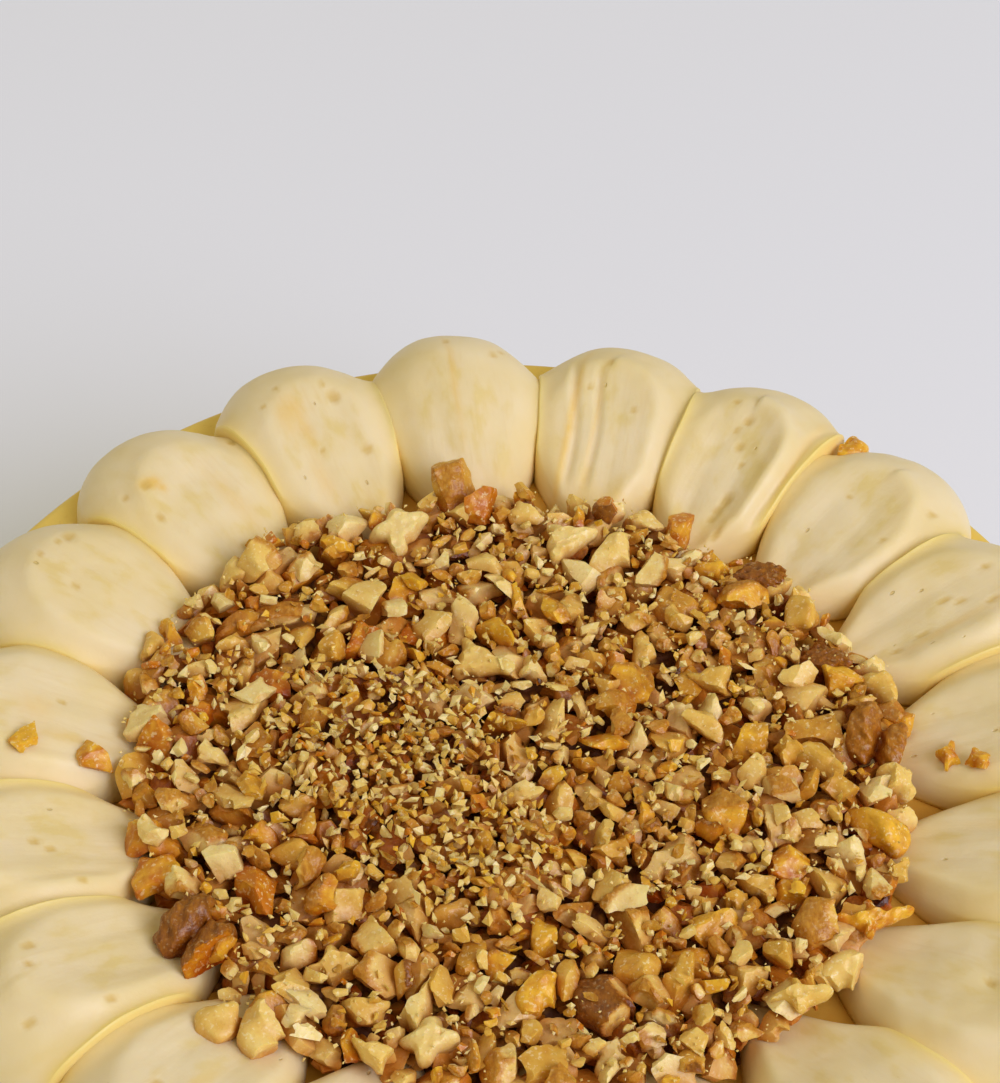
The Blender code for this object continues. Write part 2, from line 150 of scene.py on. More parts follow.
for row in LAMPS:
    add_lamp(*row)
sky = bpy.data.worlds.new("pale sky")
sky.use_nodes = True
sky.node_tree.nodes["Background"].inputs["Color"].default_value = (*SKY_COLOUR, 1)
sky.node_tree.nodes["Background"].inputs["Strength"].default_value = SKY_STRENGTH
bpy.context.scene.world = sky
print(f"{len(LAMPS)} lamps and a sky of strength {SKY_STRENGTH}")

# %% [markdown]
# ## Shader sums in plain Python
# A pattern is easier to read as a sum than as a web of boxes. A Wire is one output socket of a
# shader tree. Adding, multiplying or comparing wires adds the Math nodes that do it, also with
# a plain number on the left, as in 1 - mask. Colours never go through Math nodes, which would
# turn them grey: they are mixed with Mix nodes.

# %% A socket that can be used in sums


class Wire:
    """One output socket of a finish's shader tree."""

    def __init__(self, finish, socket):
        self.finish = finish
        self.socket = socket

    def maths(self, operation, *others, clamp=False):
        settings = {"operation": operation, "use_clamp": clamp}
        links = {i: value for i, value in enumerate((self,) + others)}
        return self.finish.node("ShaderNodeMath", settings, links)

    def __add__(self, other):
        return self.maths("ADD", other)

    __radd__ = __add__

    def __sub__(self, other):
        return self.maths("SUBTRACT", other)

    def __rsub__(self, other):
        return self.finish.node("ShaderNodeMath", {"operation": "SUBTRACT"}, {0: other, 1: self})

    def __mul__(self, other):
        return self.maths("MULTIPLY", other)

    __rmul__ = __mul__

    def __gt__(self, other):
        return self.maths("GREATER_THAN", other)

    def clamped(self):
        return self.maths("ADD", 0.0, clamp=True)

    def smooth(self, low, high):
        """0 below low and 1 above high, with a soft step between; high may be the lower."""
        if high < low:
            return 1 - self.smooth(high, low)
        settings = {"interpolation_type": "SMOOTHSTEP"}
        links = {"Value": self, "From Min": low, "From Max": high}
        return self.finish.node("ShaderNodeMapRange", settings, links)


# %% A material's shader tree


def linear(colour):
    """A colour as a screen shows it, out of 255, as the shader wants it."""
    return tuple(((c / 255 + 0.055) / 1.055) ** 2.4 for c in colour)


class ShaderTree:
    """A Principled material, and the call that adds any node to its tree."""

    def __init__(self, name, **constants):
        self.material = bpy.data.materials.new(name)
        self.material.use_nodes = True
        self.tree = self.material.node_tree
        self.shader = self.tree.nodes["Principled BSDF"]
        for socket, value in constants.items():
            self.shader.inputs[socket.replace("_", " ")].default_value = value

    def node(self, kind, settings, links, output=0):
        """Any node: its settings first, then a value or a wire for each named socket."""
        made = self.tree.nodes.new(kind)
        for name, value in settings.items():
            if name == "stops":
                self.set_stops(made.color_ramp, value)
            else:
                setattr(made, name, value)
        for socket, value in links.items():
            self.join(value, made.inputs[socket])
        return Wire(self, made.outputs[output])

    def join(self, value, socket):
        if isinstance(value, Wire):
            self.tree.links.new(value.socket, socket)
        elif isinstance(value, tuple) and socket.type == "RGBA":
            socket.default_value = (*value[:3], 1)
        else:
            socket.default_value = value

    def set_stops(self, ramp, stops):
        while len(ramp.elements) > 1:
            ramp.elements.remove(ramp.elements[-1])
        for i, (place, colour) in enumerate(stops):
            stop = ramp.elements[0] if i == 0 else ramp.elements.new(place)
            stop.position = place
            stop.color = (*linear(colour), 1)

    def feed(self, socket, wire):
        self.tree.links.new(wire.socket, self.shader.inputs[socket])


# %% Patterns that a finish is made of


class Finish(ShaderTree):
    """A material whose patterns are written as sums of wires."""

    def place(self):
        """Where a point lies on the cake, in metres."""
        return self.node("ShaderNodeTexCoord", {}, {}, "Object")

    def value_of(self, name):
        """A number that the mesh carries at each corner."""
        return self.node("ShaderNodeAttribute", {"attribute_name": name}, {}, "Fac")

    def vector_of(self, name):
        """Three numbers that the mesh carries at each corner."""
        return self.node("ShaderNodeAttribute", {"attribute_name": name}, {}, "Vector")

    def part_of(self, vector, letter):
        return self.node("ShaderNodeSeparateXYZ", {}, {0: vector}, letter)

    def scaled(self, vector, factors):
        settings = {"operation": "MULTIPLY"}
        return self.node("ShaderNodeVectorMath", settings, {0: vector, 1: factors})

    def noise(self, size, detail=2.0, where=None):
        """Cloudy noise whose clouds are about size metres across."""
        links = {"Vector": where or self.place(), "Scale": 1 / size, "Detail": detail}
        return self.node("ShaderNodeTexNoise", {}, links)

    def cells(self, size, where=None, output="Distance"):
        """Cells of about that size: the distance to a cell's seed, or the cell's own colour."""
        links = {"Vector": where or self.place(), "Scale": 1 / size}
        return self.node("ShaderNodeTexVoronoi", {}, links, output)

    def mix(self, share, first, second, how="MIX"):
        """Two colours, each a wire or a screen colour, mixed by a share from 0 to 1."""
        sides = [c if isinstance(c, Wire) else linear(c) for c in (first, second)]
        settings = {"data_type": "RGBA", "blend_type": how}
        links = {0: share, 6: sides[0], 7: sides[1]}
        return self.node("ShaderNodeMix", settings, links, 2)

    def ramp(self, value, stops):
        return self.node("ShaderNodeValToRGB", {"stops": stops}, {"Fac": value})

    def relief(self, height, depth, under=None):
        """A bump of that depth in metres, on top of another bump where one is given."""
        links = {"Height": height, "Distance": depth}
        if under is not None:
            links["Normal"] = under
        return self.node("ShaderNodeBump", {}, links)


print("shader helpers are ready")

# %% [markdown]
# ## Meshes from arrays
# Thousands of crumbs are quickest made as arrays of corners and faces, handed to Blender in one
# go. A corner can carry numbers of its own, such as how much skin is left on a nut there, and
# the finish reads them back by name.

# %% Mesh helpers


def add_mesh(name, points, faces, materials, values=None, sharp_angle=None, slots=None):
    """An object from corners and a list of face arrays, facing outwards."""
    mesh = bpy.data.meshes.new(name)
    corners = np.concatenate([group.ravel() for group in faces])
    sides = np.concatenate([np.full(len(group), group.shape[1]) for group in faces])
    mesh.vertices.add(len(points))
    mesh.vertices.foreach_set("co", np.ascontiguousarray(points, np.float32).ravel())
    mesh.loops.add(len(corners))
    mesh.loops.foreach_set("vertex_index", corners.astype(np.int32))
    mesh.polygons.add(len(sides))
    starts = np.concatenate(([0], np.cumsum(sides)[:-1]))
    mesh.polygons.foreach_set("loop_start", starts.astype(np.int32))
    mesh.update(calc_edges=True)
    for key, array in (values or {}).items():
        kind, field = ("FLOAT", "value") if array.ndim == 1 else ("FLOAT_VECTOR", "vector")
        layer = mesh.attributes.new(key, kind, "POINT")
        layer.data.foreach_set(field, np.ascontiguousarray(array, np.float32).ravel())
    for material in materials:
        mesh.materials.append(material)
    if slots is not None:
        mesh.polygons.foreach_set("material_index", slots.astype(np.int32))
    mesh.shade_smooth()
    if sharp_angle is not None:
        mesh.set_sharp_from_angle(angle=math.radians(sharp_angle))
    made = bpy.data.objects.new(name, mesh)
    bpy.context.scene.collection.objects.link(made)
    return made


def triangle_count(piece):
    return sum(len(face.vertices) - 2 for face in piece.data.polygons)


def facing_out(points, faces):
    """The faces, turned over where the closed mesh that they make is inside out."""
    total = 0.0
    for group in faces:
        for i in range(1, group.shape[1] - 1):
            a, b, c = points[group[:, 0]], points[group[:, i]], points[group[:, i + 1]]
            total += np.einsum("ij,ij->", a, np.cross(b, c))
    return [group[:, ::-1] for group in faces] if total < 0 else faces


# %% Faces for closed meshes


def halved(quads):
    """Each quad as two triangles."""
    return np.concatenate((quads[:, [0, 1, 2]], quads[:, [0, 2, 3]]))


def ring_faces(rows, columns):
    """Quads between neighbouring closed rings, and a fan over each end's middle point."""
    start = np.arange(rows - 1)[:, None] * columns
    here = np.arange(columns)[None, :]
    after = (here + 1) % columns
    quads = np.stack((start + here, start + after, start + columns + after,
                      start + columns + here), axis=-1).reshape(-1, 4)
    ring = np.arange(columns)
    near = np.stack((np.roll(ring, -1), ring, np.full(columns, rows * columns)), axis=-1)
    far_start = (rows - 1) * columns
    far = np.stack((far_start + ring, far_start + np.roll(ring, -1),
                    np.full(columns, rows * columns + 1)), axis=-1)
    return [quads, np.concatenate((near, far))]


# %% Soft unevenness, and handing a piece in


def lumps(points, wavelength, seed, count=9):
    """Smooth unevenness, mostly between -1 and 1: waves in random directions added up."""
    draw = np.random.default_rng(seed)
    ways = draw.normal(size=(count, points.shape[-1]))
    ways /= np.linalg.norm(ways, axis=1, keepdims=True)
    lengths = wavelength * draw.uniform(0.65, 1.5, count)
    turns = draw.uniform(0, 2 * np.pi, count)
    phases = points @ (ways * (2 * np.pi / lengths)[:, None]).T + turns
    return np.sin(phases).sum(-1) / (1.1 * math.sqrt(count))


def smooth_step(t):
    t = np.clip(t, 0.0, 1.0)
    return t * t * (3 - 2 * t)


def settle(piece, slot, *nodes):
    """A finished piece stands for these solids and moves with the cake."""
    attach(piece, "root")
    if nodes:
        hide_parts(*nodes)
    print(f"{piece.name}: {triangle_count(piece)} triangles")
    return piece


# %% [markdown]
# ## The floor
# A plain pale sheet lies under the cake. It is not part of the cake, so it is marked as stage.
# A faint unevenness keeps it from looking like a flat fill.

# %% Floor
FLOOR_SIZE = 6.0
FLOOR_COLOUR = (235, 240, 255)
FLOOR_CLOUD = (230, 234, 252)
FLOOR_DROP = 0.1 * MM                # the floor lies this far under the cake


def floor_finish():
    finish = Finish("pale floor", Roughness=0.9)
    cloud = finish.noise(0.35, 3.0)
    finish.feed("Base Color", finish.mix(cloud * 0.25, FLOOR_COLOUR, FLOOR_CLOUD))
    return finish.material


floor_points = np.array([(-1, -1, 0), (1, -1, 0), (1, 1, 0), (-1, 1, 0)]) * FLOOR_SIZE / 2
floor_points[:, 2] = drum_low.z - FLOOR_DROP
floor = add_mesh("floor", floor_points, [np.array([(0, 1, 2, 3)])], [floor_finish()])
floor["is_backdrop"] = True
print(f"floor {FLOOR_SIZE} m wide")

# %% [markdown]
# ## The coat of yellow cream
# The drum is spread all over with a soft yellow cream. Between the petals it shows as a bright
# yellow rim, and down the side it keeps the shallow bands that a turning stand and a straight
# spatula leave. A turned profile makes the shape, and the waves round it are the drum's own.
# The underside is bare browned cake.

# %% Coat shape
RIM_WAVES = ((2, 0.5 * MM, 0.6), (4, 0.35 * MM, 2.1), (6, 0.3 * MM, 0.9), (10, 0.2 * MM, 2.6))
TOP_EDGE_RADIUS = 2.5 * MM
TOP_EDGE_ROWS = 9
FOOT_CHAMFER = 1.2 * MM
COAT_COLUMNS = 224
SIDE_ROWS = 40
TOP_ROWS = 26
UNDERSIDE_SHARES = (0.02, 0.35, 0.7, 0.9)
# Relief of the side: the spatula's bands, longer smears, and how far both are set back
BAND_LENGTH, BAND_DEPTH, BAND_TURN = 11 * MM, 0.38 * MM, 2.5 * MM
SMEAR_LENGTH, SMEAR_DEPTH = 16 * MM, 0.3 * MM
SIDE_SETBACK = 0.6 * MM
TOP_WAVE_LENGTH, TOP_WAVE_DEPTH = 14 * MM, 0.25 * MM


def waves(angle, wave_rows):
    """The sum of some waves round the circle."""
    return sum(depth * np.cos(count * angle + turn) for count, depth, turn in wave_rows)


def coat_profile():
    """Inset from the outline and height, from the middle of the underside to the top."""
    rows = [(CAKE_RADIUS * (1 - share), 0.0) for share in UNDERSIDE_SHARES]
    rows += [(FOOT_CHAMFER, 0.0), (0.4 * FOOT_CHAMFER, 0.25 * FOOT_CHAMFER), (0.0, FOOT_CHAMFER)]
    for i in range(1, SIDE_ROWS):
        share = i / SIDE_ROWS
        rows.append((0.0, FOOT_CHAMFER + share * (TOP - TOP_EDGE_RADIUS - FOOT_CHAMFER)))
    for i in range(TOP_EDGE_ROWS):
        turn = math.pi / 2 * i / (TOP_EDGE_ROWS - 1)
        rows.append((TOP_EDGE_RADIUS * (1 - math.cos(turn)),
                     TOP + TOP_EDGE_RADIUS * (math.sin(turn) - 1)))
    inner = CAKE_RADIUS - TOP_EDGE_RADIUS
    for i in range(1, TOP_ROWS):
        rows.append((TOP_EDGE_RADIUS + inner * 0.98 * i / (TOP_ROWS - 1), TOP))
    return np.array(rows)


def make_coat(cream, crumb):
    profile = coat_profile()
    angle = np.linspace(0, 2 * np.pi, COAT_COLUMNS, endpoint=False)[None, :]
    inset, height = profile[:, :1], profile[:, 1:]
    radius = CAKE_RADIUS + waves(angle, RIM_WAVES) - inset
    x, y = radius * np.cos(angle), radius * np.sin(angle)
    z = np.broadcast_to(height, x.shape)
    points = np.stack((x, y, z), axis=-1)
    side = smooth_step((TOP - z) / (8 * MM)) * smooth_step(z / (4 * MM))
    band = lumps(np.stack((BAND_TURN * np.cos(angle) + 0 * z, z), -1), BAND_LENGTH, 31)
    smear = lumps(points * (0.35, 0.35, 1.0), SMEAR_LENGTH, 32)
    outward = np.stack((np.cos(angle) + 0 * z, np.sin(angle) + 0 * z, 0 * z), axis=-1)
    dent = BAND_DEPTH * band + SMEAR_DEPTH * smear - SIDE_SETBACK
    points = points + outward * (side * dent)[..., None]
    level = smooth_step((inset - 1.5 * MM) / (6 * MM)) * (z > TOP - 6 * MM)
    points[..., 2] += level * TOP_WAVE_DEPTH * (lumps(points, TOP_WAVE_LENGTH, 33) - 1)
    rows, columns = radius.shape
    ends = np.array([(0, 0, 0), (0, 0, points[-1, :, 2].mean())])
    corners = np.concatenate((points.reshape(-1, 3), ends))
    faces = ring_faces(rows, columns)
    underneath = [np.zeros(len(group)) for group in faces]
    underneath[0][:len(UNDERSIDE_SHARES) * columns] = 1
    underneath[1][:columns] = 1
    return add_mesh("cream_coat", corners, facing_out(corners, faces), [cream, crumb],
                    slots=np.concatenate(underneath))


# %% Coat finish
COAT_BRIGHT = (238, 208, 104)
COAT_DEEP = (222, 186, 76)
COAT_SPECK = (200, 158, 52)
OIL_AND_SHADE_CREAM = (204, 142, 34)
OIL_AND_SHADE_RADII = (78 * MM, 88 * MM)       # nut-oil stain with painted shade and bounce light from the nuts: full, and none
COAT_CLOUD, COAT_GRAIN, COAT_BAND = 16 * MM, 1.2 * MM, 1.6 * MM


def coat_finish():
    finish = Finish("yellow cream", Subsurface_Weight=0.15, Subsurface_Scale=3 * MM,
                    Subsurface_Radius=(1.0, 0.7, 0.3))
    place = finish.place()
    cloud = finish.noise(COAT_CLOUD, 3.0, where=finish.scaled(place, (0.5, 0.5, 2.0)))
    fine = finish.noise(COAT_GRAIN, 2.0)
    colour = finish.mix(cloud.smooth(0.3, 0.75) * 0.5, COAT_BRIGHT, COAT_DEEP)
    colour = finish.mix(fine.smooth(0.6, 0.8) * 0.25, colour, COAT_SPECK)
    east, north = finish.part_of(place, "X"), finish.part_of(place, "Y")
    # Near the nuts the cream goes amber: a nut-oil stain, with painted shade and painted amber
    # light bounced from the nuts.
    oil_and_shade = (east * east + north * north).smooth(OIL_AND_SHADE_RADII[1] ** 2, OIL_AND_SHADE_RADII[0] ** 2)
    finish.feed("Base Color", finish.mix(oil_and_shade * 0.8, colour, OIL_AND_SHADE_CREAM))
    finish.feed("Roughness", 0.42 + 0.15 * cloud)
    bands = finish.noise(COAT_BAND, 2.0, where=finish.scaled(place, (0.25, 0.25, 1.0)))
    under = finish.relief(bands, 0.25 * MM)
    finish.feed("Normal", finish.relief(fine, 0.12 * MM, under))
    return finish.material


# %% Underside finish
BROWNED, BROWNED_DEEP, PORE_SHADE = (150, 92, 46), (118, 68, 32), (84, 46, 22)


def crumb_finish():
    """Bare browned cake, with small open pores painted darker as shade in the holes."""
    finish = Finish("browned cake", Roughness=0.8)
    cloud = finish.noise(6 * MM, 3.0)
    pores = finish.cells(1.7 * MM).smooth(0.25, 0.6)
    colour = finish.mix(cloud.smooth(0.3, 0.7), BROWNED, BROWNED_DEEP)
    # Painted shade in the pores.
    finish.feed("Base Color", finish.mix(1 - pores, colour, PORE_SHADE))
    finish.feed("Normal", finish.relief(pores, 0.5 * MM))
    return finish.material


settle(make_coat(coat_finish(), crumb_finish()), "yellow_cream_coat", "iced_cake")

# %% [markdown]
# ## The piped petals
# Each petal began as a round blob of white cream, and a spatula pulled its inner half towards
# the middle. That leaves a full round end, a long pressed face with a soft lip on each side,
# and a thin tail under the nuts. One formula gives the form of them all, and each has a row of
# its own sizes. The frame's solids use the same formula with few faces, and here it is read on
# a fine grid, with strokes, dents and bubbles on top.

# %% The row of each petal
GAP = 0.3 * MM                       # the solids' petals start this far over the coat
OVERLAP = 0.30 * MM                  # how far each side runs into its neighbour
FIRST_PETAL_EDGE = -41.0             # degrees
PETALS = (  # share in degrees, crest, reach, lean, press, pressed side, clockwise lip, other lip
    (20.2, 15.6, 114.0, -0.8, 2.2, 0.10, 0.7, 0.4),
    (20.3, 15.0, 114.2, -0.5, 2.0, 0.15, 0.8, 0.4),
    (19.5, 15.2, 114.4, 0.4, 2.3, -0.10, 0.8, 0.5),
    (17.8, 15.4, 114.0, -0.6, 2.4, 0.05, 0.8, 0.5),
    (18.9, 14.4, 114.4, -1.4, 2.5, 0.12, 1.2, 0.4),
    (16.8, 14.4, 114.2, -1.6, 2.5, 0.30, 1.8, 0.3),
    (18.5, 14.8, 114.2, -1.4, 1.8, 0.22, 1.0, 0.4),
    (20.0, 17.4, 113.8, 1.0, 0.8, 0.00, 0.1, 0.1),
    (18.6, 15.4, 114.2, 0.4, 1.8, 0.00, 0.3, 0.3),
    (19.4, 13.8, 114.2, 0.6, 2.0, -0.22, 0.3, 0.5),
    (20.4, 15.0, 114.0, 0.5, 1.6, -0.10, 0.3, 0.6),
    (20.6, 15.2, 114.2, 0.0, 2.2, -0.20, 0.5, 1.0),
    (18.0, 14.6, 114.4, 0.6, 2.1, -0.12, 0.5, 0.9),
    (17.0, 15.4, 114.0, -0.7, 1.9, -0.15, 0.5, 0.9),
    (18.8, 14.6, 114.2, 0.5, 2.1, 0.05, 0.6, 0.7),
    (18.8, 15.6, 113.8, -0.4, 1.9, -0.10, 0.5, 0.8),
    (18.8, 14.8, 114.2, 0.8, 2.2, 0.12, 0.8, 0.5),
    (18.8, 15.2, 114.0, 0.0, 2.0, 0.00, 0.6, 0.6),
    (18.8, 15.8, 114.4, -0.6, 2.1, 0.15, 0.8, 0.4),
)

# %% Sizes that all petals share
PETAL_TAIL = 58.5 * MM               # where the teardrop comes to its point
PETAL_INNER = 60 * MM                # and where its surface begins
PETAL_END_LENGTH = 19 * MM           # length of the round end
PETAL_HALF_WIDTH = 18.2 * MM
PETAL_LEAN_START = 86 * MM           # from here outwards a petal leans sideways
PETAL_TAIL_HEIGHT = 3.0 * MM
FULLNESS = 2.1                       # 2 is an ellipse, and more is squarer
PRESS_START = 16 * MM                # length over which the press sets in from the tail
PRESS_ROUND = 9 * MM                 # the pressed face rounds off this far before the shoulder
PRESS_REACH = 5.5 * MM               # and ends this far beyond it
PRESS_EDGE = 0.75                    # share of the pressed face over which it slopes down
PRESS_SPREAD = 0.72                  # the pressed face's share of the petal's width
LEAST_RISE = 0.3                     # share of the height that is left under any press
LIP_WIDTH = 1.8 * MM
CREASE_FILL = 3.2 * MM               # cream that closes the foot of the crease
CREASE_WIDTH = 1.8 * MM
RIDGE_SHARE = 0.75                   # how much of its lip's height a ridge rises
FACE_EDGE = 0.25                     # share of the pressed face over which its marks fade
STROKE_LENGTH, STROKE_DEPTH = 2.8 * MM, 0.030 * MM      # relief that the spatula drew
HOLLOW_LENGTH, HOLLOW_DEPTH = 9 * MM, 0.07 * MM
LUMP_LENGTH, LUMP_DEPTH = 15 * MM, 0.16 * MM            # relief all over
DIMPLE_LENGTH, DIMPLE_DEPTH = 5 * MM, 0.05 * MM
STROKE_APART = 7 * MM                # keeps one petal's strokes unlike the next one's
FULL_RISE = 4 * MM                   # where a petal is lower than this, it gets less relief
TAIL_ROWS, END_ROWS = 43, 28         # sections along the petal
ACROSS, UNDER = 80, 5                # corners of a section, over the top and underneath

# %% Grooves that the spatula's edge drew
GROOVES = (  # petal, from radius, to radius, across, width, depth
    (7, 70, 103, 7.4, 0.9, 0.75),
    (7, 70, 102, 2.6, 0.8, 0.60),
    (8, 76, 102, -7.0, 2.6, 0.35),
    (8, 74, 98, 6.5, 2.4, 0.30),
    (6, 72, 104, -11.5, 0.9, 0.45),
    (4, 74, 101, 3.0, 1.8, 0.18),
    (4, 72, 99, -5.0, 1.8, 0.18),
    (5, 74, 104, -9.5, 1.6, 0.22),
    (9, 74, 103, -6.0, 2.4, 0.20),
    (10, 72, 102, 9.5, 1.6, 0.30),
    (12, 76, 106, 10.0, 1.4, 0.35),
    (13, 74, 104, 8.5, 1.4, 0.30),
    (2, 76, 104, 6.0, 1.8, 0.25),
    (16, 74, 103, -5.5, 1.8, 0.30),
    (18, 74, 103, 6.5, 1.8, 0.30),
)
print(f"{len(GROOVES)} grooves")

# %% Yellower patches
# The long thin rows that run along the grooves of petals 4, 6 and 7 are painted shade, yellow as
# shaded cream is.
WARM_PATCHES = (  # petal, radius, across, length, width, strength
    (8, 92, 1.5, 12, 0.8, 0.45),
    (7, 84, 7.4, 18, 0.8, 0.75),
    (7, 84, 2.6, 13, 0.6, 0.45),
    (6, 88, -11.5, 18, 0.8, 0.40),
    (9, 95, 3.5, 3, 2.5, 0.45),
    (9, 92, 6.0, 4, 1.6, 0.40),
    (9, 89, 3.0, 5, 1.4, 0.45),
    (9, 78, 4.0, 4, 2.0, 0.35),
    (10, 94.5, 5.6, 1.3, 1.6, 1.00),
    (10, 92.6, 4.6, 0.9, 0.8, 0.80),
    (10, 95.4, 7.4, 1.4, 1.4, 0.45),
    (10, 84, -5.0, 7, 2.0, 0.30),
    (4, 84, -5.0, 10, 1.0, 0.40),
    (2, 86, 5.0, 8, 1.2, 0.35),
    (12, 88, 0.0, 4, 3.0, 0.35),
    (12, 80, 5.0, 8, 1.5, 0.35),
    (15, 92, 3.0, 6, 1.6, 0.35),
    (17, 88, -3.0, 7, 1.5, 0.35),
)
OIL_AND_BOUNCE_RADIUS, OIL_AND_BOUNCE_WIDTH = 77 * MM, 12 * MM            # nut-oil stain and painted amber bounce light from the nuts, from here inwards
print(f"{len(WARM_PATCHES)} yellower patches")

# %% Open bubbles
PORES = (  # petal, radius, across, length, width, depth
    (8, 102.4, 1.9, 0.8, 0.7, 0.5),
    (8, 98.4, -7.2, 0.7, 0.8, 0.5),
    (8, 99.8, -9.1, 0.6, 0.6, 0.4),
    (9, 94.1, -5.3, 1.3, 1.3, 0.9),
    (9, 97.8, -4.6, 0.6, 0.7, 0.5),
    (9, 100.2, 4.4, 0.7, 0.6, 0.5),
    (9, 97.4, 8.7, 0.6, 0.6, 0.4),
    (9, 81.2, -6.6, 0.9, 1.1, 0.6),
    (9, 83.6, 1.6, 0.6, 0.6, 0.4),
    (10, 94.8, 7.0, 0.9, 1.1, 0.8),
    (10, 95.2, -15.3, 1.0, 0.9, 0.7),
    (10, 96.4, 11.1, 0.6, 0.7, 0.4),
    (10, 88.0, 9.5, 1.0, 0.8, 0.5),
    (11, 97.4, -6.6, 1.1, 1.4, 0.9),
    (11, 99.5, 0.2, 0.7, 0.8, 0.6),
    (11, 98.2, -4.2, 0.6, 0.6, 0.4),
    (11, 90.5, 3.0, 0.7, 0.7, 0.5),
    (13, 88.2, -0.1, 0.9, 0.8, 0.7),
    (13, 85.9, 1.6, 0.8, 0.7, 0.6),
    (13, 81.7, 9.0, 0.7, 0.7, 0.5),
    (14, 95.4, -5.9, 1.0, 0.9, 0.7),
    (14, 97.2, -2.4, 0.8, 0.7, 0.6),
    (14, 88.7, 9.5, 0.9, 0.7, 0.6),
    (14, 101.8, 6.7, 0.8, 0.8, 0.6),
    (7, 99.9, 1.9, 0.8, 0.7, 0.6),
    (7, 93.0, 5.0, 0.6, 0.6, 0.4),
    (7, 89.0, -4.8, 0.6, 0.7, 0.4),
    (6, 98.3, 5.4, 0.8, 0.7, 0.6),
    (6, 95.0, 1.2, 1.1, 0.9, 0.9),
    (6, 92.3, 2.4, 0.6, 0.6, 0.5),
    (6, 88.9, 0.1, 1.1, 0.8, 0.9),
    (6, 85.1, -1.9, 0.7, 0.6, 0.6),
    (6, 77.4, -2.6, 1.6, 1.1, 1.0),
    (6, 74.8, -2.0, 1.1, 1.0, 0.8),
    (6, 72.7, -1.8, 0.8, 0.9, 0.7),
    (6, 69.4, -4.4, 1.6, 0.7, 0.8),
    (5, 98.3, -11.0, 0.8, 0.8, 0.6),
    (5, 86.1, -8.6, 0.6, 0.6, 0.4),
    (5, 90.4, 3.2, 0.6, 0.6, 0.4),
    (4, 87.2, 0.5, 1.5, 0.5, 0.6),
    (4, 94.2, -4.4, 1.2, 0.6, 0.7),
    (4, 89.5, -1.3, 1.2, 0.5, 0.5),
    (4, 80.3, -3.5, 1.5, 0.5, 0.5),
    (4, 74.7, -3.8, 1.0, 0.6, 0.5),
    (4, 97.0, 3.0, 0.8, 0.7, 0.5),
    (3, 92.0, 2.0, 1.0, 0.6, 0.6),
    (3, 86.0, -3.0, 1.2, 0.6, 0.5),
    (2, 95.0, -2.0, 0.8, 0.7, 0.6),
    (1, 90.4, 0.9, 1.1, 0.8, 0.8),
    (1, 97.0, -4.0, 0.8, 0.8, 0.6),
    (12, 96.0, 3.0, 0.9, 0.8, 0.6),
    (12, 84.0, -3.0, 0.8, 0.7, 0.5),
    (15, 94.0, -2.0, 0.9, 0.8, 0.7),
    (16, 90.0, 4.0, 0.9, 0.7, 0.6),
    (17, 97.0, 1.0, 0.8, 0.8, 0.6),
    (18, 88.0, -3.0, 1.0, 0.8, 0.7),
    (19, 95.0, 3.0, 0.8, 0.8, 0.6),
)
print(f"{len(PORES)} bubbles")

# %% The form of one petal


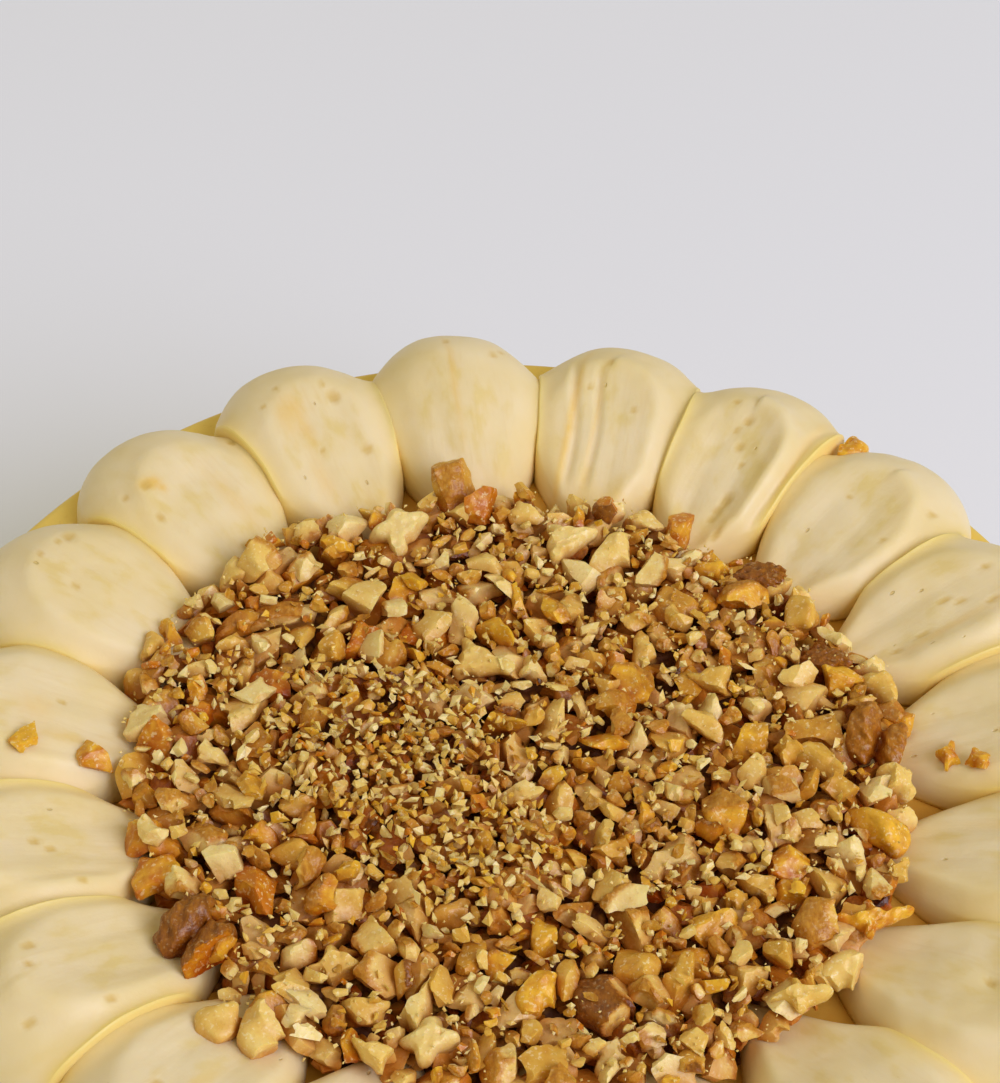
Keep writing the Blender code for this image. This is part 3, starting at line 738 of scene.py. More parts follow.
class PetalForm:
    """One petal in its own frame: X runs outwards from the cake's middle, Y anticlockwise."""

    def __init__(self, number, row, edge_angle):
        share, crest, reach, lean, press, side, clockwise_lip, other_lip = row
        self.number = number
        self.half_share = math.radians(share / 2)
        self.angle = math.radians(edge_angle + share / 2)
        self.crest = crest * MM
        self.reach = reach * MM
        self.lean = lean * MM
        self.press = press * MM
        self.side = side
        self.lips = (clockwise_lip * MM, other_lip * MM)
        self.shoulder = self.reach - PETAL_END_LENGTH

    def round_end(self, radius):
        """1 up to the shoulder, then falling to 0 where the round end reaches."""
        along = np.clip((radius - self.shoulder) / PETAL_END_LENGTH, 0.0, 1.0)
        return (1 - along ** FULLNESS) ** (1 / FULLNESS)

    def outline(self, radius):
        """Middle and half-width of the leaning teardrop, as if it had no neighbours."""
        inner = np.sin(np.pi / 2 * (radius - PETAL_TAIL) / (self.shoulder - PETAL_TAIL))
        shape = np.where(radius > self.shoulder, self.round_end(radius), inner)
        start = PETAL_LEAN_START
        middle = self.lean * smooth_step((radius - start) / (self.reach - start))
        return middle, PETAL_HALF_WIDTH * shape

    def sides(self, radius):
        """Where the petal's two sides are, cut short where its neighbours begin."""
        middle, half_width = self.outline(radius)
        limit = radius * math.tan(self.half_share) + OVERLAP
        return np.maximum(middle - half_width, -limit), np.minimum(middle + half_width, limit)

    def crest_height(self, radius):
        """Height of the middle line before the spatula's press."""
        along = np.clip((radius - PETAL_INNER) / (self.shoulder - PETAL_INNER), 0.0, 1.0)
        rise = 0.5 * smooth_step(along) + 0.5 * np.sin(np.pi / 2 * along)
        inner = PETAL_TAIL_HEIGHT + (self.crest - PETAL_TAIL_HEIGHT) * rise
        return np.where(radius > self.shoulder, self.crest * self.round_end(radius), inner)

    def press_place(self, radius, offset, width):
        """Place in the pressed face: 0 in its middle, 1 on its rim; and the side's lip."""
        spread = PRESS_SPREAD * width
        offset = offset - self.side * (width - spread)
        round_start = self.shoulder - PRESS_ROUND
        along = np.maximum(0.0, radius - round_start) / (PRESS_ROUND + PRESS_REACH)
        return np.hypot(offset / spread, along), np.where(offset < 0, *self.lips), spread

    def pressed(self, radius, offset, width):
        """How far the spatula lowers the surface, less the lip that it raises."""
        inner = smooth_step((radius - PETAL_INNER) / PRESS_START)
        place, lip, spread = self.press_place(radius, offset, width)
        hollow = smooth_step((1 - place) / PRESS_EDGE)
        ridge = RIDGE_SHARE * lip * np.exp(-((place - 1) * spread / LIP_WIDTH) ** 2)
        return inner * (self.press * hollow - ridge)

    def window(self, radius, offset, width):
        """1 on the pressed face, 0 off it."""
        place, _, _ = self.press_place(radius, offset, width)
        begun = smooth_step((radius - PETAL_INNER) / PRESS_START)
        return smooth_step((1 - place) / FACE_EDGE) * begun


# %% A petal's surface


class Petal(PetalForm):
    """The form with its marks, bubbles and stains, as corners for a mesh."""

    def marks(self, radius, across, width):
        """Fine relief of the pressed face: drawn grooves, strokes and soft hollows."""
        window = self.window(radius, across, width)
        flat = np.stack((radius * 0.16, across), axis=-1) + 0.31 * self.number
        blunt = np.stack((radius * 0.5, across), axis=-1) + 0.17 * self.number
        depth = window * (STROKE_DEPTH * lumps(flat, STROKE_LENGTH, 100 + self.number)
                          + HOLLOW_DEPTH * lumps(blunt, HOLLOW_LENGTH, 200 + self.number))
        for number, start, stop, place, wide, deep in GROOVES:
            if number == self.number:
                run = smooth_step((radius / MM - start) / 5) * smooth_step((stop - radius / MM) / 6)
                wander = 0.5 * MM * lumps(radius[..., None], 30 * MM, 300 + number)
                offset = (across - place * MM * radius / (92 * MM) - wander) / (wide * MM)
                depth = depth + deep * MM * run * np.exp(-offset ** 2)
                depth = depth - 0.20 * deep * MM * run * np.exp(-(np.abs(offset) - 1.7) ** 2)
        return depth

    def pores(self, radius, across):
        """Depth of the open bubbles, and how much of each point lies in one, from 0 to 1."""
        depth, inside = np.zeros_like(radius), np.zeros_like(radius)
        for number, place, side, length, width, deep in PORES:
            if number == self.number:
                distance = np.hypot((radius / MM - place) / length, (across / MM - side) / width)
                depth += 0.5 * deep * MM * np.exp(-distance ** 4)
                inside += np.exp(-(distance / 1.1) ** 4)
        return depth, np.clip(inside, 0, 1)

    def warmth(self, radius, across):
        """Where the cream is yellower, from 0 to 1: in patches, some of them painted shade in
        grooves, and near the nuts, from a nut-oil stain and painted amber bounce light.
        """
        # Painted amber light bounced from the nuts, with a nut-oil stain, yellows the tail.
        total = 0.4 * smooth_step((OIL_AND_BOUNCE_RADIUS - radius) / OIL_AND_BOUNCE_WIDTH)
        for number, place, side, length, width, strength in WARM_PATCHES:
            if number == self.number:
                reach = ((radius / MM - place) / length) ** 2
                offset = ((across / MM - side) / width) ** 2
                total = total + strength * np.exp(-reach - offset)
        return np.clip(total, 0, 1)

    def rows(self):
        """Radii of the sections, closer together over the round end."""
        tail = np.linspace(PETAL_INNER, self.shoulder, TAIL_ROWS, endpoint=False)
        turn = np.linspace(0, np.pi / 2, END_ROWS, endpoint=False)
        return np.concatenate((tail, self.shoulder + PETAL_END_LENGTH * np.sin(turn)))

    def surface(self):
        """Corners over the top of the petal, and the numbers that its finish reads."""
        turn = np.linspace(-np.pi / 2, np.pi / 2, ACROSS)[None, :]
        radius = self.rows()[:, None] + 0 * turn
        low, high = self.sides(radius)
        middle, half_width = self.outline(radius)
        width = (high - low) / 2
        offset = width * np.sin(turn)
        across = (low + high) / 2 + offset
        share = np.clip(np.abs(across - middle) / half_width, 0, 1)
        crest = self.crest_height(radius)
        rise = crest * np.maximum(1 - share ** FULLNESS, 0) ** (1 / FULLNESS)
        lowered = self.pressed(radius, offset, width) + self.marks(radius, offset, width)
        hole_depth, in_hole = self.pores(radius, across)
        inward = np.maximum(radius * math.tan(self.half_share) - np.abs(across), 0)
        held = np.minimum(1, rise / FULL_RISE)
        fill = CREASE_FILL * held * np.exp(-inward / CREASE_WIDTH)
        above = np.maximum(rise - lowered + fill, LEAST_RISE * rise) - hole_depth
        foot = 1 - np.clip(rise / (1.5 * MM), 0, 1)
        points = np.stack((radius, across, GAP + above - 0.5 * MM * foot), axis=-1)
        for axis, seed in enumerate((400, 500, 600)):
            points[..., axis] += held * LUMP_DEPTH * lumps(points, LUMP_LENGTH, seed + self.number)
        points[..., 2] += held * DIMPLE_DEPTH * lumps(points, DIMPLE_LENGTH, 700 + self.number)
        points[:, 0, 2] = points[:, -1, 2] = -0.2 * MM
        apart = np.full_like(radius, self.number * STROKE_APART)
        stroke = np.stack((radius, across, apart), axis=-1)
        # Painted shade: the cream is made yellower in the creases between petals and low at their
        # foot.
        crease = np.exp(-inward / CREASE_WIDTH)
        crease = np.maximum(crease, np.exp(-np.maximum(points[..., 2], 0) / (1.5 * MM)))
        return points, {"stroke": stroke, "crease": crease, "hole": in_hole,
                        "pull": self.window(radius, offset, width),
                        "warm": self.warmth(radius, offset)}

    def to_cake(self, points):
        """Carry points from the petal's frame to their place on the cake."""
        c, s = math.cos(self.angle), math.sin(self.angle)
        x, y, z = points[..., 0], points[..., 1], points[..., 2]
        return np.stack((c * x - s * y, s * x + c * y, z + TOP), axis=-1)


# %% The ring of petals
petals = []
edge = FIRST_PETAL_EDGE
for row in PETALS:
    petals.append(Petal(len(petals) + 1, row, edge))
    edge += row[0]
print(f"{len(petals)} petals share {edge - FIRST_PETAL_EDGE:.1f} degrees")

# %% [markdown]
# ## Petal cream
# Buttercream has a soft sheen, and a soft glow where light goes in and comes out again. It is
# ivory and yellower in patches, and painted shade makes it yellower in the creases and in its
# open bubbles. Fine lines run along the spatula's pull, and a few small bubbles were opened by it.
# Both are laid out in each petal's own directions, which the mesh carries as stroke: the
# distance from the cake's middle, and the place across.

# %% Petal finish
CREAM_LIGHT = (238, 222, 184)
CREAM_DEEP = (230, 209, 146)
CREAM_WARM = (234, 192, 84)
CREASE_SHADE = (244, 212, 116)
BUBBLE_SHADE = (218, 186, 100)
LINE_COLOUR = (220, 190, 118)
PORE_CELL = 2.6 * MM


def cream_finish():
    finish = Finish("piped cream", Subsurface_Weight=0.5, Subsurface_Scale=4 * MM,
                    Subsurface_Radius=(1.0, 0.9, 0.55), Specular_IOR_Level=0.55)
    stroke = finish.vector_of("stroke")
    pull = finish.value_of("pull")
    cloud = finish.noise(15 * MM, 3.0)
    grain = finish.noise(0.9 * MM, 2.0)
    lines = finish.noise(1.1 * MM, 3.0, where=finish.scaled(stroke, (0.10, 1.0, 1.0)))
    patch = finish.noise(4.5 * MM, 4.0, where=finish.scaled(stroke, (0.6, 1.0, 1.0)))
    deeper = 0.5 * cloud.smooth(0.35, 0.68) + (0.25 + 0.5 * pull) * patch.smooth(0.48, 0.72)
    colour = finish.mix(deeper.clamped(), CREAM_LIGHT, CREAM_DEEP)
    colour = finish.mix(pull * lines.smooth(0.5, 0.8) * 0.15, colour, LINE_COLOUR)
    patchy = 0.55 + 0.7 * finish.noise(1.8 * MM, 3.0)
    warm = (finish.value_of("warm") * patchy).clamped()
    colour = finish.mix(warm, colour, CREAM_WARM)
    # Painted shade in the creases and at the foot of each petal.
    crease = finish.value_of("crease")
    colour = finish.mix((crease * 0.8).clamped(), colour, CREASE_SHADE)
    # Painted shade in the open bubbles from the table.
    colour = finish.mix(finish.value_of("hole") * 0.75, colour, BUBBLE_SHADE)
    long_cells = finish.scaled(stroke, (0.55, 1.0, 1.0))
    near = finish.cells(PORE_CELL, where=long_cells)
    own = finish.cells(PORE_CELL, where=long_cells, output="Color")
    pick, size = finish.part_of(own, "X"), finish.part_of(own, "Y")
    pore = (pick > 0.96 - 0.14 * pull) * (near - size * 0.05).smooth(0.10, 0.03)
    # Painted shade in the small pores.
    finish.feed("Base Color", finish.mix(pore * 0.55, colour, BUBBLE_SHADE))
    finish.feed("Roughness", 0.42 + 0.1 * cloud)
    under = finish.relief(0.7 * lines * pull + patch * pull, 0.09 * MM)
    under = finish.relief(grain, 0.04 * MM, under)
    finish.feed("Normal", finish.relief(1 - pore, 0.3 * MM, under))
    return finish.material


# %% Make the petals


def make_petal(petal, material):
    """A closed petal: its top surface, a few columns underneath, and a point at each end."""
    top, values = petal.surface()
    share = np.linspace(1, 0, UNDER + 2)[1:-1][None, :, None]
    under = top[:, -1:, :] * share + top[:, :1, :] * (1 - share)
    under[..., 2] = -0.3 * MM
    rings = np.concatenate((top, under), axis=1)
    rows, columns = rings.shape[:2]
    tip = np.array([[petal.reach, petal.lean, -0.1 * MM]])
    tail = rings[0].mean(axis=0, keepdims=True)
    corners = np.concatenate((rings.reshape(-1, 3), tail, tip))
    carried = {}
    for key, array in values.items():
        padded = np.concatenate((array, np.repeat(array[:, -1:], UNDER, axis=1)), axis=1)
        flat = padded.reshape((rows * columns,) + array.shape[2:])
        carried[key] = np.concatenate((flat, flat[:1], flat[-1:]))
    faces = facing_out(corners - corners.mean(axis=0), ring_faces(rows, columns))
    corners = petal.to_cake(corners)
    return add_mesh(f"petal_cream_{petal.number:02d}", corners, faces, [material], carried)


cream = cream_finish()
petal_pieces = []
for petal in petals:
    piece = make_petal(petal, cream)
    petal_pieces.append(settle(piece, "piped_cream", f"petal_{petal.number:02d}"))

# %% [markdown]
# ## Broken walnuts from breaks and lobes
# A walnut kernel is a wrinkled lobe in a thin brown skin, and its flesh is pale where it is
# broken. So a piece is described twice: as a body, the lobe that it came from, and as breaks,
# the flat and hollow faces that cut it. What is outside either is gone. Where the body's own
# surface is left, the skin is left too, and the mesh carries that as a number.
#
# The surface is found on a grid. Every cell that it crosses gets one corner, put where the
# tangent planes of the crossings meet, so that the breaks keep sharp edges with few faces.

# %% Surfaces from fields
PULL_TO_MIDDLE = 0.08                # keeps a corner near its crossings where they hardly bend
FARTHEST_SHIFT = 0.6                 # steps that a corner may leave their middle by


def slopes(field, points, step):
    """Unit normals of a field, from differences."""
    parts = []
    for axis in np.eye(3) * step:
        parts.append(field(points + axis) - field(points - axis))
    normals = np.stack(parts, axis=-1)
    return normals / (np.linalg.norm(normals, axis=-1, keepdims=True) + 1e-12)


def surface_of(field, size, step):
    """Corners and quads where the field is zero inside a box of that size round the origin."""
    counts = np.ceil(np.asarray(size) / step).astype(int) + 2
    origin = -counts * step / 2
    grid = np.stack(np.meshgrid(*[np.arange(n + 1) for n in counts], indexing="ij"), axis=-1)
    value = field(origin + step * grid)
    cell_ids, crossings, normals, rings = [], [], [], []
    for axis in range(3):
        low = np.take(value, range(counts[axis]), axis=axis)
        high = np.take(value, range(1, counts[axis] + 1), axis=axis)
        where = np.argwhere((low < 0) != (high < 0))
        one, two = np.eye(3, dtype=int)[[(axis + 1) % 3, (axis + 2) % 3]]
        first, second = low[tuple(where.T)], high[tuple(where.T)]
        along = np.eye(3)[axis]
        point = origin + step * (where + (first / (first - second))[:, None] * along)
        around = [where - one - two, where - two, where, where - one]
        ids = np.stack([np.ravel_multi_index(tuple(c.T), counts) for c in around], axis=-1)
        rings.append(np.where((first < 0)[:, None], ids, ids[:, ::-1]))
        cell_ids.append(ids)
        crossings.append(np.repeat(point[:, None], 4, axis=1))
        normals.append(np.repeat(slopes(field, point, step * 0.05)[:, None], 4, axis=1))
    flat = np.concatenate([c.ravel() for c in cell_ids])
    points = np.concatenate([c.reshape(-1, 3) for c in crossings])
    ways = np.concatenate([c.reshape(-1, 3) for c in normals])
    used, index = np.unique(flat, return_inverse=True)
    number = np.bincount(index).astype(float)
    middle = np.stack([np.bincount(index, points[:, k]) for k in range(3)], -1) / number[:, None]
    offset = np.einsum("ij,ij->i", ways, points - middle[index])
    matrix = np.zeros((len(used), 3, 3))
    right = np.zeros((len(used), 3))
    for i in range(3):
        right[:, i] = np.bincount(index, ways[:, i] * offset)
        for j in range(3):
            matrix[:, i, j] = np.bincount(index, ways[:, i] * ways[:, j])
    matrix += np.eye(3) * (PULL_TO_MIDDLE * number)[:, None, None]
    shift = np.linalg.solve(matrix, right[..., None])[..., 0]
    corners = middle + np.clip(shift, -FARTHEST_SHIFT * step, FARTHEST_SHIFT * step)
    quads = np.searchsorted(used, np.concatenate(rings))
    return corners, quads


# %% Bodies and directions


def ball(points, radii, centre=(0, 0, 0)):
    """Roughly the distance to an ellipsoid."""
    q = (points - np.asarray(centre)) / radii
    length = np.linalg.norm(q, axis=-1)
    return length * (length - 1) / (np.linalg.norm(q / radii, axis=-1) + 1e-9)


def blended(distances, softness):
    """One body from several, with soft valleys between them."""
    return -softness * np.logaddexp.reduce([-d / softness for d in distances], axis=0)


def spread_ways(draw, count):
    """Directions spread evenly over a sphere, then turned and jostled."""
    level = 1 - 2 * (np.arange(count) + 0.5) / count
    turn = np.pi * (3 - np.sqrt(5)) * np.arange(count) + draw.uniform(0, 6.3)
    ring = np.sqrt(1 - level ** 2)
    ways = np.stack((ring * np.cos(turn), ring * np.sin(turn), level), axis=-1)
    basis = np.linalg.qr(draw.normal(size=(3, 3)))[0]
    ways = ways @ basis + draw.normal(scale=0.22, size=(count, 3))
    return ways / np.linalg.norm(ways, axis=1, keepdims=True)


test_ball = surface_of(lambda points: ball(points, (1, 1, 1)), (2, 2, 2), 0.25)
print(f"a ball on a grid of an eighth of its width has {len(test_ball[1])} faces")

# %% [markdown]
# ## Kinds of nut piece
# The chopping leaves several kinds: angular chunks with flat and hollow breaks, lobes that keep
# their rounded outside, curled claws from a kernel's rim, ragged stars and thin plates. Each
# maker below returns the body and the breaks of one piece of a given size, in millimetres.

# %% A piece as two fields
SKIN_BAND = 1.3                      # mm of breaks beside the skin that it stains
NO_SKIN = -99.0                      # a body so large that it never cuts the piece


class Nut:
    """A piece as two fields, in millimetres: the body and the breaks that cut it."""

    def __init__(self, size, body, breaks):
        self.size = np.asarray(size, float)
        self.body = body
        self.breaks = breaks

    def field(self, points):
        within = (np.abs(points) - 0.58 * self.size).max(axis=-1)
        return np.maximum(np.maximum(self.body(points), self.breaks(points)), within)

    def mesh(self, step):
        """Corners, quads and how much skin each corner has."""
        corners, quads = surface_of(self.field, self.size * 1.25, step)
        skin = np.clip(0.75 + (self.body(corners) - self.breaks(corners)) / SKIN_BAND, 0, 1)
        low, high = corners.min(axis=0), corners.max(axis=0)
        corners = (corners - (low + high) / 2) * (self.size / (high - low))
        return corners, quads, skin


def no_skin(points):
    return np.full(points.shape[:-1], NO_SKIN)


def bare(size, body, breaks):
    """A piece whose body is broken flesh all over, too."""
    return Nut(size, no_skin, lambda p: np.maximum(body(p), breaks(p)))


# %% Angular chunks


def flat_breaks(points, ways, reaches, bites, soft):
    """The farthest outside of any flat break or round bite, with edges a little rounded."""
    parts = [points @ way - reach for way, reach in zip(ways, reaches)]
    parts += [radius - np.linalg.norm(points - centre, axis=-1) for centre, radius in bites]
    return -blended([-part for part in parts], soft)


def chunk(draw, size, skin_chance, scallops, planes, soft=0.03):
    """An angular piece with flat and scalloped breaks; some keep skin on one side."""
    half = np.asarray(size) / 2
    ways = spread_ways(draw, planes)
    reaches = np.linalg.norm(ways * half, axis=1) * draw.uniform(0.58, 0.95, planes)
    bites = []
    for turn in draw.uniform(0, 2 * np.pi, scallops):
        way = np.array((math.cos(turn), math.sin(turn), draw.uniform(-0.5, 0.8)))
        reach = np.linalg.norm(way * half)
        radius = reach * draw.uniform(0.35, 1.1)
        bites.append((way * (reach * draw.uniform(0.38, 0.72) + radius), radius))
    bend = draw.uniform(-0.45, 0.45) / half[0]
    seed = int(draw.integers(1 << 30))
    swell = half.min()
    skinned = draw.random() < skin_chance
    outside = 1.5 * half.max()
    middle = ways[0] * (reaches[0] - outside)
    if skinned:
        ways, reaches = ways[1:], reaches[1:]

    def body(p):
        if not skinned:
            return no_skin(p)
        return (np.linalg.norm(p - middle, axis=-1) - outside
                + 0.10 * swell * lumps(p, 1.2 * swell, seed))

    def breaks(p):
        uneven = 0.05 * swell * lumps(p, 1.1 * swell, seed + 1)
        bent = p + bend * np.stack((0 * p[..., 0], 0 * p[..., 0], p[..., 0] ** 2), axis=-1)
        return flat_breaks(bent, ways, reaches, bites, soft * swell) + uneven

    return Nut(size, body, breaks)


# %% Lobes with their wrinkled outside


def lobe(draw, size, ridges):
    """A rounded piece that keeps most of its wrinkled outside, broken off underneath."""
    half = np.asarray(size) / 2
    seed = int(draw.integers(1 << 30))
    wander = draw.uniform(-0.3, 0.3, ridges)
    places = np.linspace(-0.6, 0.6, ridges)
    bottom = np.array((draw.uniform(-0.3, 0.3), draw.uniform(-0.3, 0.3), -1.0))
    side = spread_ways(draw, 3)[0] * (1, 1, 0.3)
    side /= np.linalg.norm(side)

    def body(p):
        parts = []
        for place, shift in zip(places, wander):
            centre = np.array((shift * half[0], place * half[1], 0.05 * half[2]))
            radii = half * (0.95, 0.9 / ridges + 0.2, 0.8 + 0.2 * math.cos(place * 1.5))
            bow = p + np.stack((0 * p[..., 0], 0.12 * p[..., 0] ** 2 / half[0],
                                0 * p[..., 0]), axis=-1)
            parts.append(ball(bow, radii, centre))
        wrinkles = 0.10 * half.min() * lumps(p, 0.8 * half.min(), seed)
        return blended(parts, 0.08 * half.min()) + wrinkles

    def breaks(p):
        parts = [p @ bottom - 0.45 * half[2], p @ side - 0.75 * np.linalg.norm(side * half)]
        return np.max(parts, axis=0) + 0.08 * lumps(p, 1.2, seed + 1)

    return Nut(size, body, breaks)


# %% Claws, stars and knobs


def claw(draw, size, sweep, skinned):
    """A curled piece of a kernel's rim: a bent bar with broken ends."""
    half = np.asarray(size) / 2
    seed = int(draw.integers(1 << 30))
    thick = 0.36 * size[1]
    ring = max(half[0] - thick, 0.35 * size[0])

    def body(p):
        around = np.arctan2(p[..., 1] + 0.35 * ring, p[..., 0])
        flat = np.hypot(p[..., 0], p[..., 1] + 0.35 * ring) - ring
        taper = 1 - 0.35 * (around - np.pi / 2) / sweep
        round_bar = np.hypot(flat, p[..., 2] * thick / half[2]) - thick * taper
        return round_bar + 0.12 * thick * lumps(p, 1.6 * thick, seed)

    def breaks(p):
        around = np.arctan2(p[..., 1] + 0.35 * ring, p[..., 0]) - np.pi / 2
        ends = (np.abs(around) - sweep / 2) * ring
        top = p @ np.array((0.1, -0.45, 0.9)) - 0.62 * half[2]
        under = -p[..., 2] - 0.6 * half[2]
        return np.max([ends, top, under], axis=0) + 0.10 * lumps(p, 1.4, seed + 1)

    return Nut(size, body, breaks) if skinned else bare(size, body, breaks)


def star(draw, size, arms):
    """A ragged piece with arms, as breaks off where a kernel's folds meet."""
    half = np.asarray(size) / 2
    seed = int(draw.integers(1 << 30))
    turns = np.linspace(0, 2 * np.pi, arms, endpoint=False) + draw.uniform(-0.35, 0.35, arms)
    reach = draw.uniform(0.7, 1.0, arms)

    def body(p):
        parts = [ball(p, half * (0.5, 0.5, 0.85))]
        for turn, far in zip(turns, reach):
            centre = np.array((math.cos(turn), math.sin(turn), 0)) * half * 0.5 * far
            c, s = math.cos(turn), math.sin(turn)
            q = p - centre
            q = np.stack((c * q[..., 0] + s * q[..., 1], c * q[..., 1] - s * q[..., 0],
                          q[..., 2]), axis=-1)
            parts.append(ball(q, half * (0.55 * far, 0.26, 0.6)))
        return blended(parts, 0.12 * half.min()) + 0.08 * half.min() * lumps(p, half.min(), seed)

    def breaks(p):
        tilt = np.array((0.15, -0.2, 0.97))
        parts = [p @ tilt - 0.6 * half[2], -p[..., 2] - 0.6 * half[2]]
        return np.max(parts, axis=0) + 0.12 * lumps(p, 1.3, seed + 1)

    return bare(size, body, breaks)


def knob(draw, size):
    """A waxy lump without skin: a bent bar with round sides."""
    return claw(draw, size, draw.uniform(1.6, 2.2), skinned=False)


# %% Every kind by its name
KINDS = {
    "chunk": lambda draw, size: chunk(draw, size, 0.5, int(draw.integers(2, 5)),
                                      int(draw.integers(6, 9))),
    "skinned": lambda draw, size: chunk(draw, size, 1.0, 2, int(draw.integers(6, 9))),
    "lobe": lambda draw, size: lobe(draw, size, int(draw.integers(2, 4))),
    "bare": lambda draw, size: chunk(draw, size, 0.3, 4, 7, 0.14),
    "claw": lambda draw, size: claw(draw, size, draw.uniform(1.8, 2.8), draw.random() < 0.4),
    "knob": knob,
    "star": lambda draw, size: star(draw, size, int(draw.integers(3, 5))),
    "plate": lambda draw, size: chunk(draw, size, 0.4, 4, 7),
}
print(f"{len(KINDS)} kinds of piece")

# %% Scraps of skin and crumbs
FLAKE_RAYS = 11
FLAKE_RINGS = ((0.45, -1.0), (0.9, -0.9), (1.0, 0.0), (0.9, 0.9), (0.45, 1.0))  # share, lift


def flake(draw, size):
    """A thin bent scrap of skin: a ragged round sheet with two faces and a thin edge."""
    rays = FLAKE_RAYS
    half = np.asarray(size) / 2
    turn = np.linspace(0, 2 * np.pi, rays, endpoint=False)
    ragged = draw.uniform(0.62, 1.0, rays)
    bend = draw.uniform(-1, 1, 2)
    seed = int(bend[0] * 1e6) & 65535
    rings = []
    for share, lift in FLAKE_RINGS:
        x = half[0] * share * ragged * np.cos(turn)
        y = half[1] * share * ragged * np.sin(turn)
        curl = half[0] * 0.5 * (bend[0] * (x / half[0]) ** 2 + bend[1] * (y / half[1]) ** 2)
        crumple = 0.12 * half[1] * lumps(np.stack((x, y), -1), half[1], seed)
        rings.append(np.stack((x, y, curl + crumple + lift * half[2]), axis=-1))
    ends = np.array([(0, 0, -half[2]), (0, 0, half[2])])
    corners = np.concatenate((np.concatenate(rings), ends))
    faces = facing_out(corners - corners.mean(axis=0), ring_faces(len(rings), rays))
    split = np.concatenate((halved(faces[0]), faces[1]))
    up = np.clip(0.5 + np.concatenate([np.full(rays, lift) for lift in (-1, -1, 0, 1, 1)]
                                      + [np.array([-1.0, 1.0])]), 0, 1)
    return corners, split, up


def crumb(draw):
    """A tiny shard one unit long: eight faces over six uneven corners."""
    corners = np.concatenate((np.eye(3), -np.eye(3))) * 0.5 * draw.uniform(0.6, 1.2, (6, 1))
    corners += draw.normal(scale=0.11, size=(6, 3))
    corners *= (1.0, draw.uniform(0.45, 0.9), draw.uniform(0.35, 0.75))
    faces = np.array([(0, 1, 2), (1, 3, 2), (3, 4, 2), (4, 0, 2),
                      (1, 0, 5), (3, 1, 5), (4, 3, 5), (0, 4, 5)])
    return corners, faces, np.full(6, float(draw.random() < 0.06))


# %% [markdown]
# ## A bin of ready pieces
# Making every piece anew would take too long, so a bin of different shapes is made once. When
# the heap is built, pieces are drawn from the bin and turned, stretched and tinted, so that no
# two look alike. Pieces that others will cover come from bins of their own, with fewer faces.

# %% Fill the bin


def fill_bin(kinds, count, lengths, step, seed):
    """Shapes of some kinds: corners and triangles in millimetres, and the skin at corners."""
    draw = np.random.default_rng(seed)
    shapes = []
    for i in range(count):
        kind = kinds[i % len(kinds)]
        length = draw.uniform(*lengths)
        width = length * draw.uniform(0.48, 0.9)
        height = length * (0.32 if kind == "plate" else draw.uniform(0.40, 0.72))
        corners, quads, skin = KINDS[kind](draw, (length, width, height)).mesh(step)
        shapes.append((corners, halved(quads), skin))
    return shapes


BINS = {
    "large": fill_bin(("chunk", "plate", "chunk", "chunk", "star", "chunk", "claw", "bare"),
                      32, (8, 12), 0.55, 1),
    "middling": fill_bin(("chunk", "plate", "chunk", "bare", "plate", "star"),
                         54, (5.5, 8.5), 0.70, 2),
    "small": fill_bin(("chunk", "plate", "chunk"), 40, (3.2, 5.0), 0.52, 3),
    "tiny": fill_bin(("chunk",), 30, (1.9, 2.8), 0.6, 4),
    "buried middling": fill_bin(("chunk", "plate"), 20, (5.5, 8.5), 1.1, 5),
    "buried small": fill_bin(("chunk",), 16, (3.2, 5.0), 0.9, 6),
}
for name, shapes in BINS.items():
    mean = sum(len(shape[1]) for shape in shapes) / len(shapes)
    print(f"{name} bin: {len(shapes)} shapes, {mean:.0f} triangles each")

# %% [markdown]
# ## Dropping pieces on a heap
# The heap is kept as heights on a fine grid. To drop a piece, its corners are compared with the
# heights below them: it comes to rest where most of them just clear what is there. It is tried
# at several places, the lowest is taken, and the grid is raised by the piece's own corners.

# %% The heap's height grid


class Heights:
    """Heights over the cake's top on a square grid, in metres."""

    def __init__(self, half_size, cell):
        self.cell = cell
        self.half = half_size
        self.count = int(2 * half_size / cell)
        self.grid = np.full((self.count, self.count), -0.1 * MM)

    def index(self, x, y):
        i = np.clip(((x + self.half) / self.cell).astype(int), 0, self.count - 1)
        j = np.clip(((y + self.half) / self.cell).astype(int), 0, self.count - 1)
        return i, j

    def add(self, points):
        """Raise the grid to a piece's corners, and half a cell round them."""
        for dx, dy in ((0, 0), (0.5, 0.5), (-0.5, 0.5), (0.5, -0.5), (-0.5, -0.5)):
            i, j = self.index(points[:, 0] + dx * self.cell, points[:, 1] + dy * self.cell)
            np.maximum.at(self.grid, (i, j), points[:, 2])

    def smoothed(self, reach):
        """The heights, averaged over squares that reach so far each way."""
        width = 2 * int(reach / self.cell) + 1
        kernel = np.ones(width) / width
        level = self.grid
        for axis in (0, 1):
            level = np.apply_along_axis(np.convolve, axis, level, kernel, "same")
        return level

    def middle_height(self):
        """How high the middle of the heap is on average, in millimetres."""
        third = slice(self.count // 3, 2 * self.count // 3)
        return self.grid[third, third].mean() / MM

    def rest(self, points, places, share):
        """For each place, how high the points have to be for most to clear the heights."""
        x = points[None, :, 0] + places[:, :1]
        y = points[None, :, 1] + places[:, 1:]
        need = self.grid[self.index(x, y)] - points[None, :, 2]
        skip = max(1, int(len(points) * share))
        return np.partition(need, -skip, axis=1)[:, -skip]


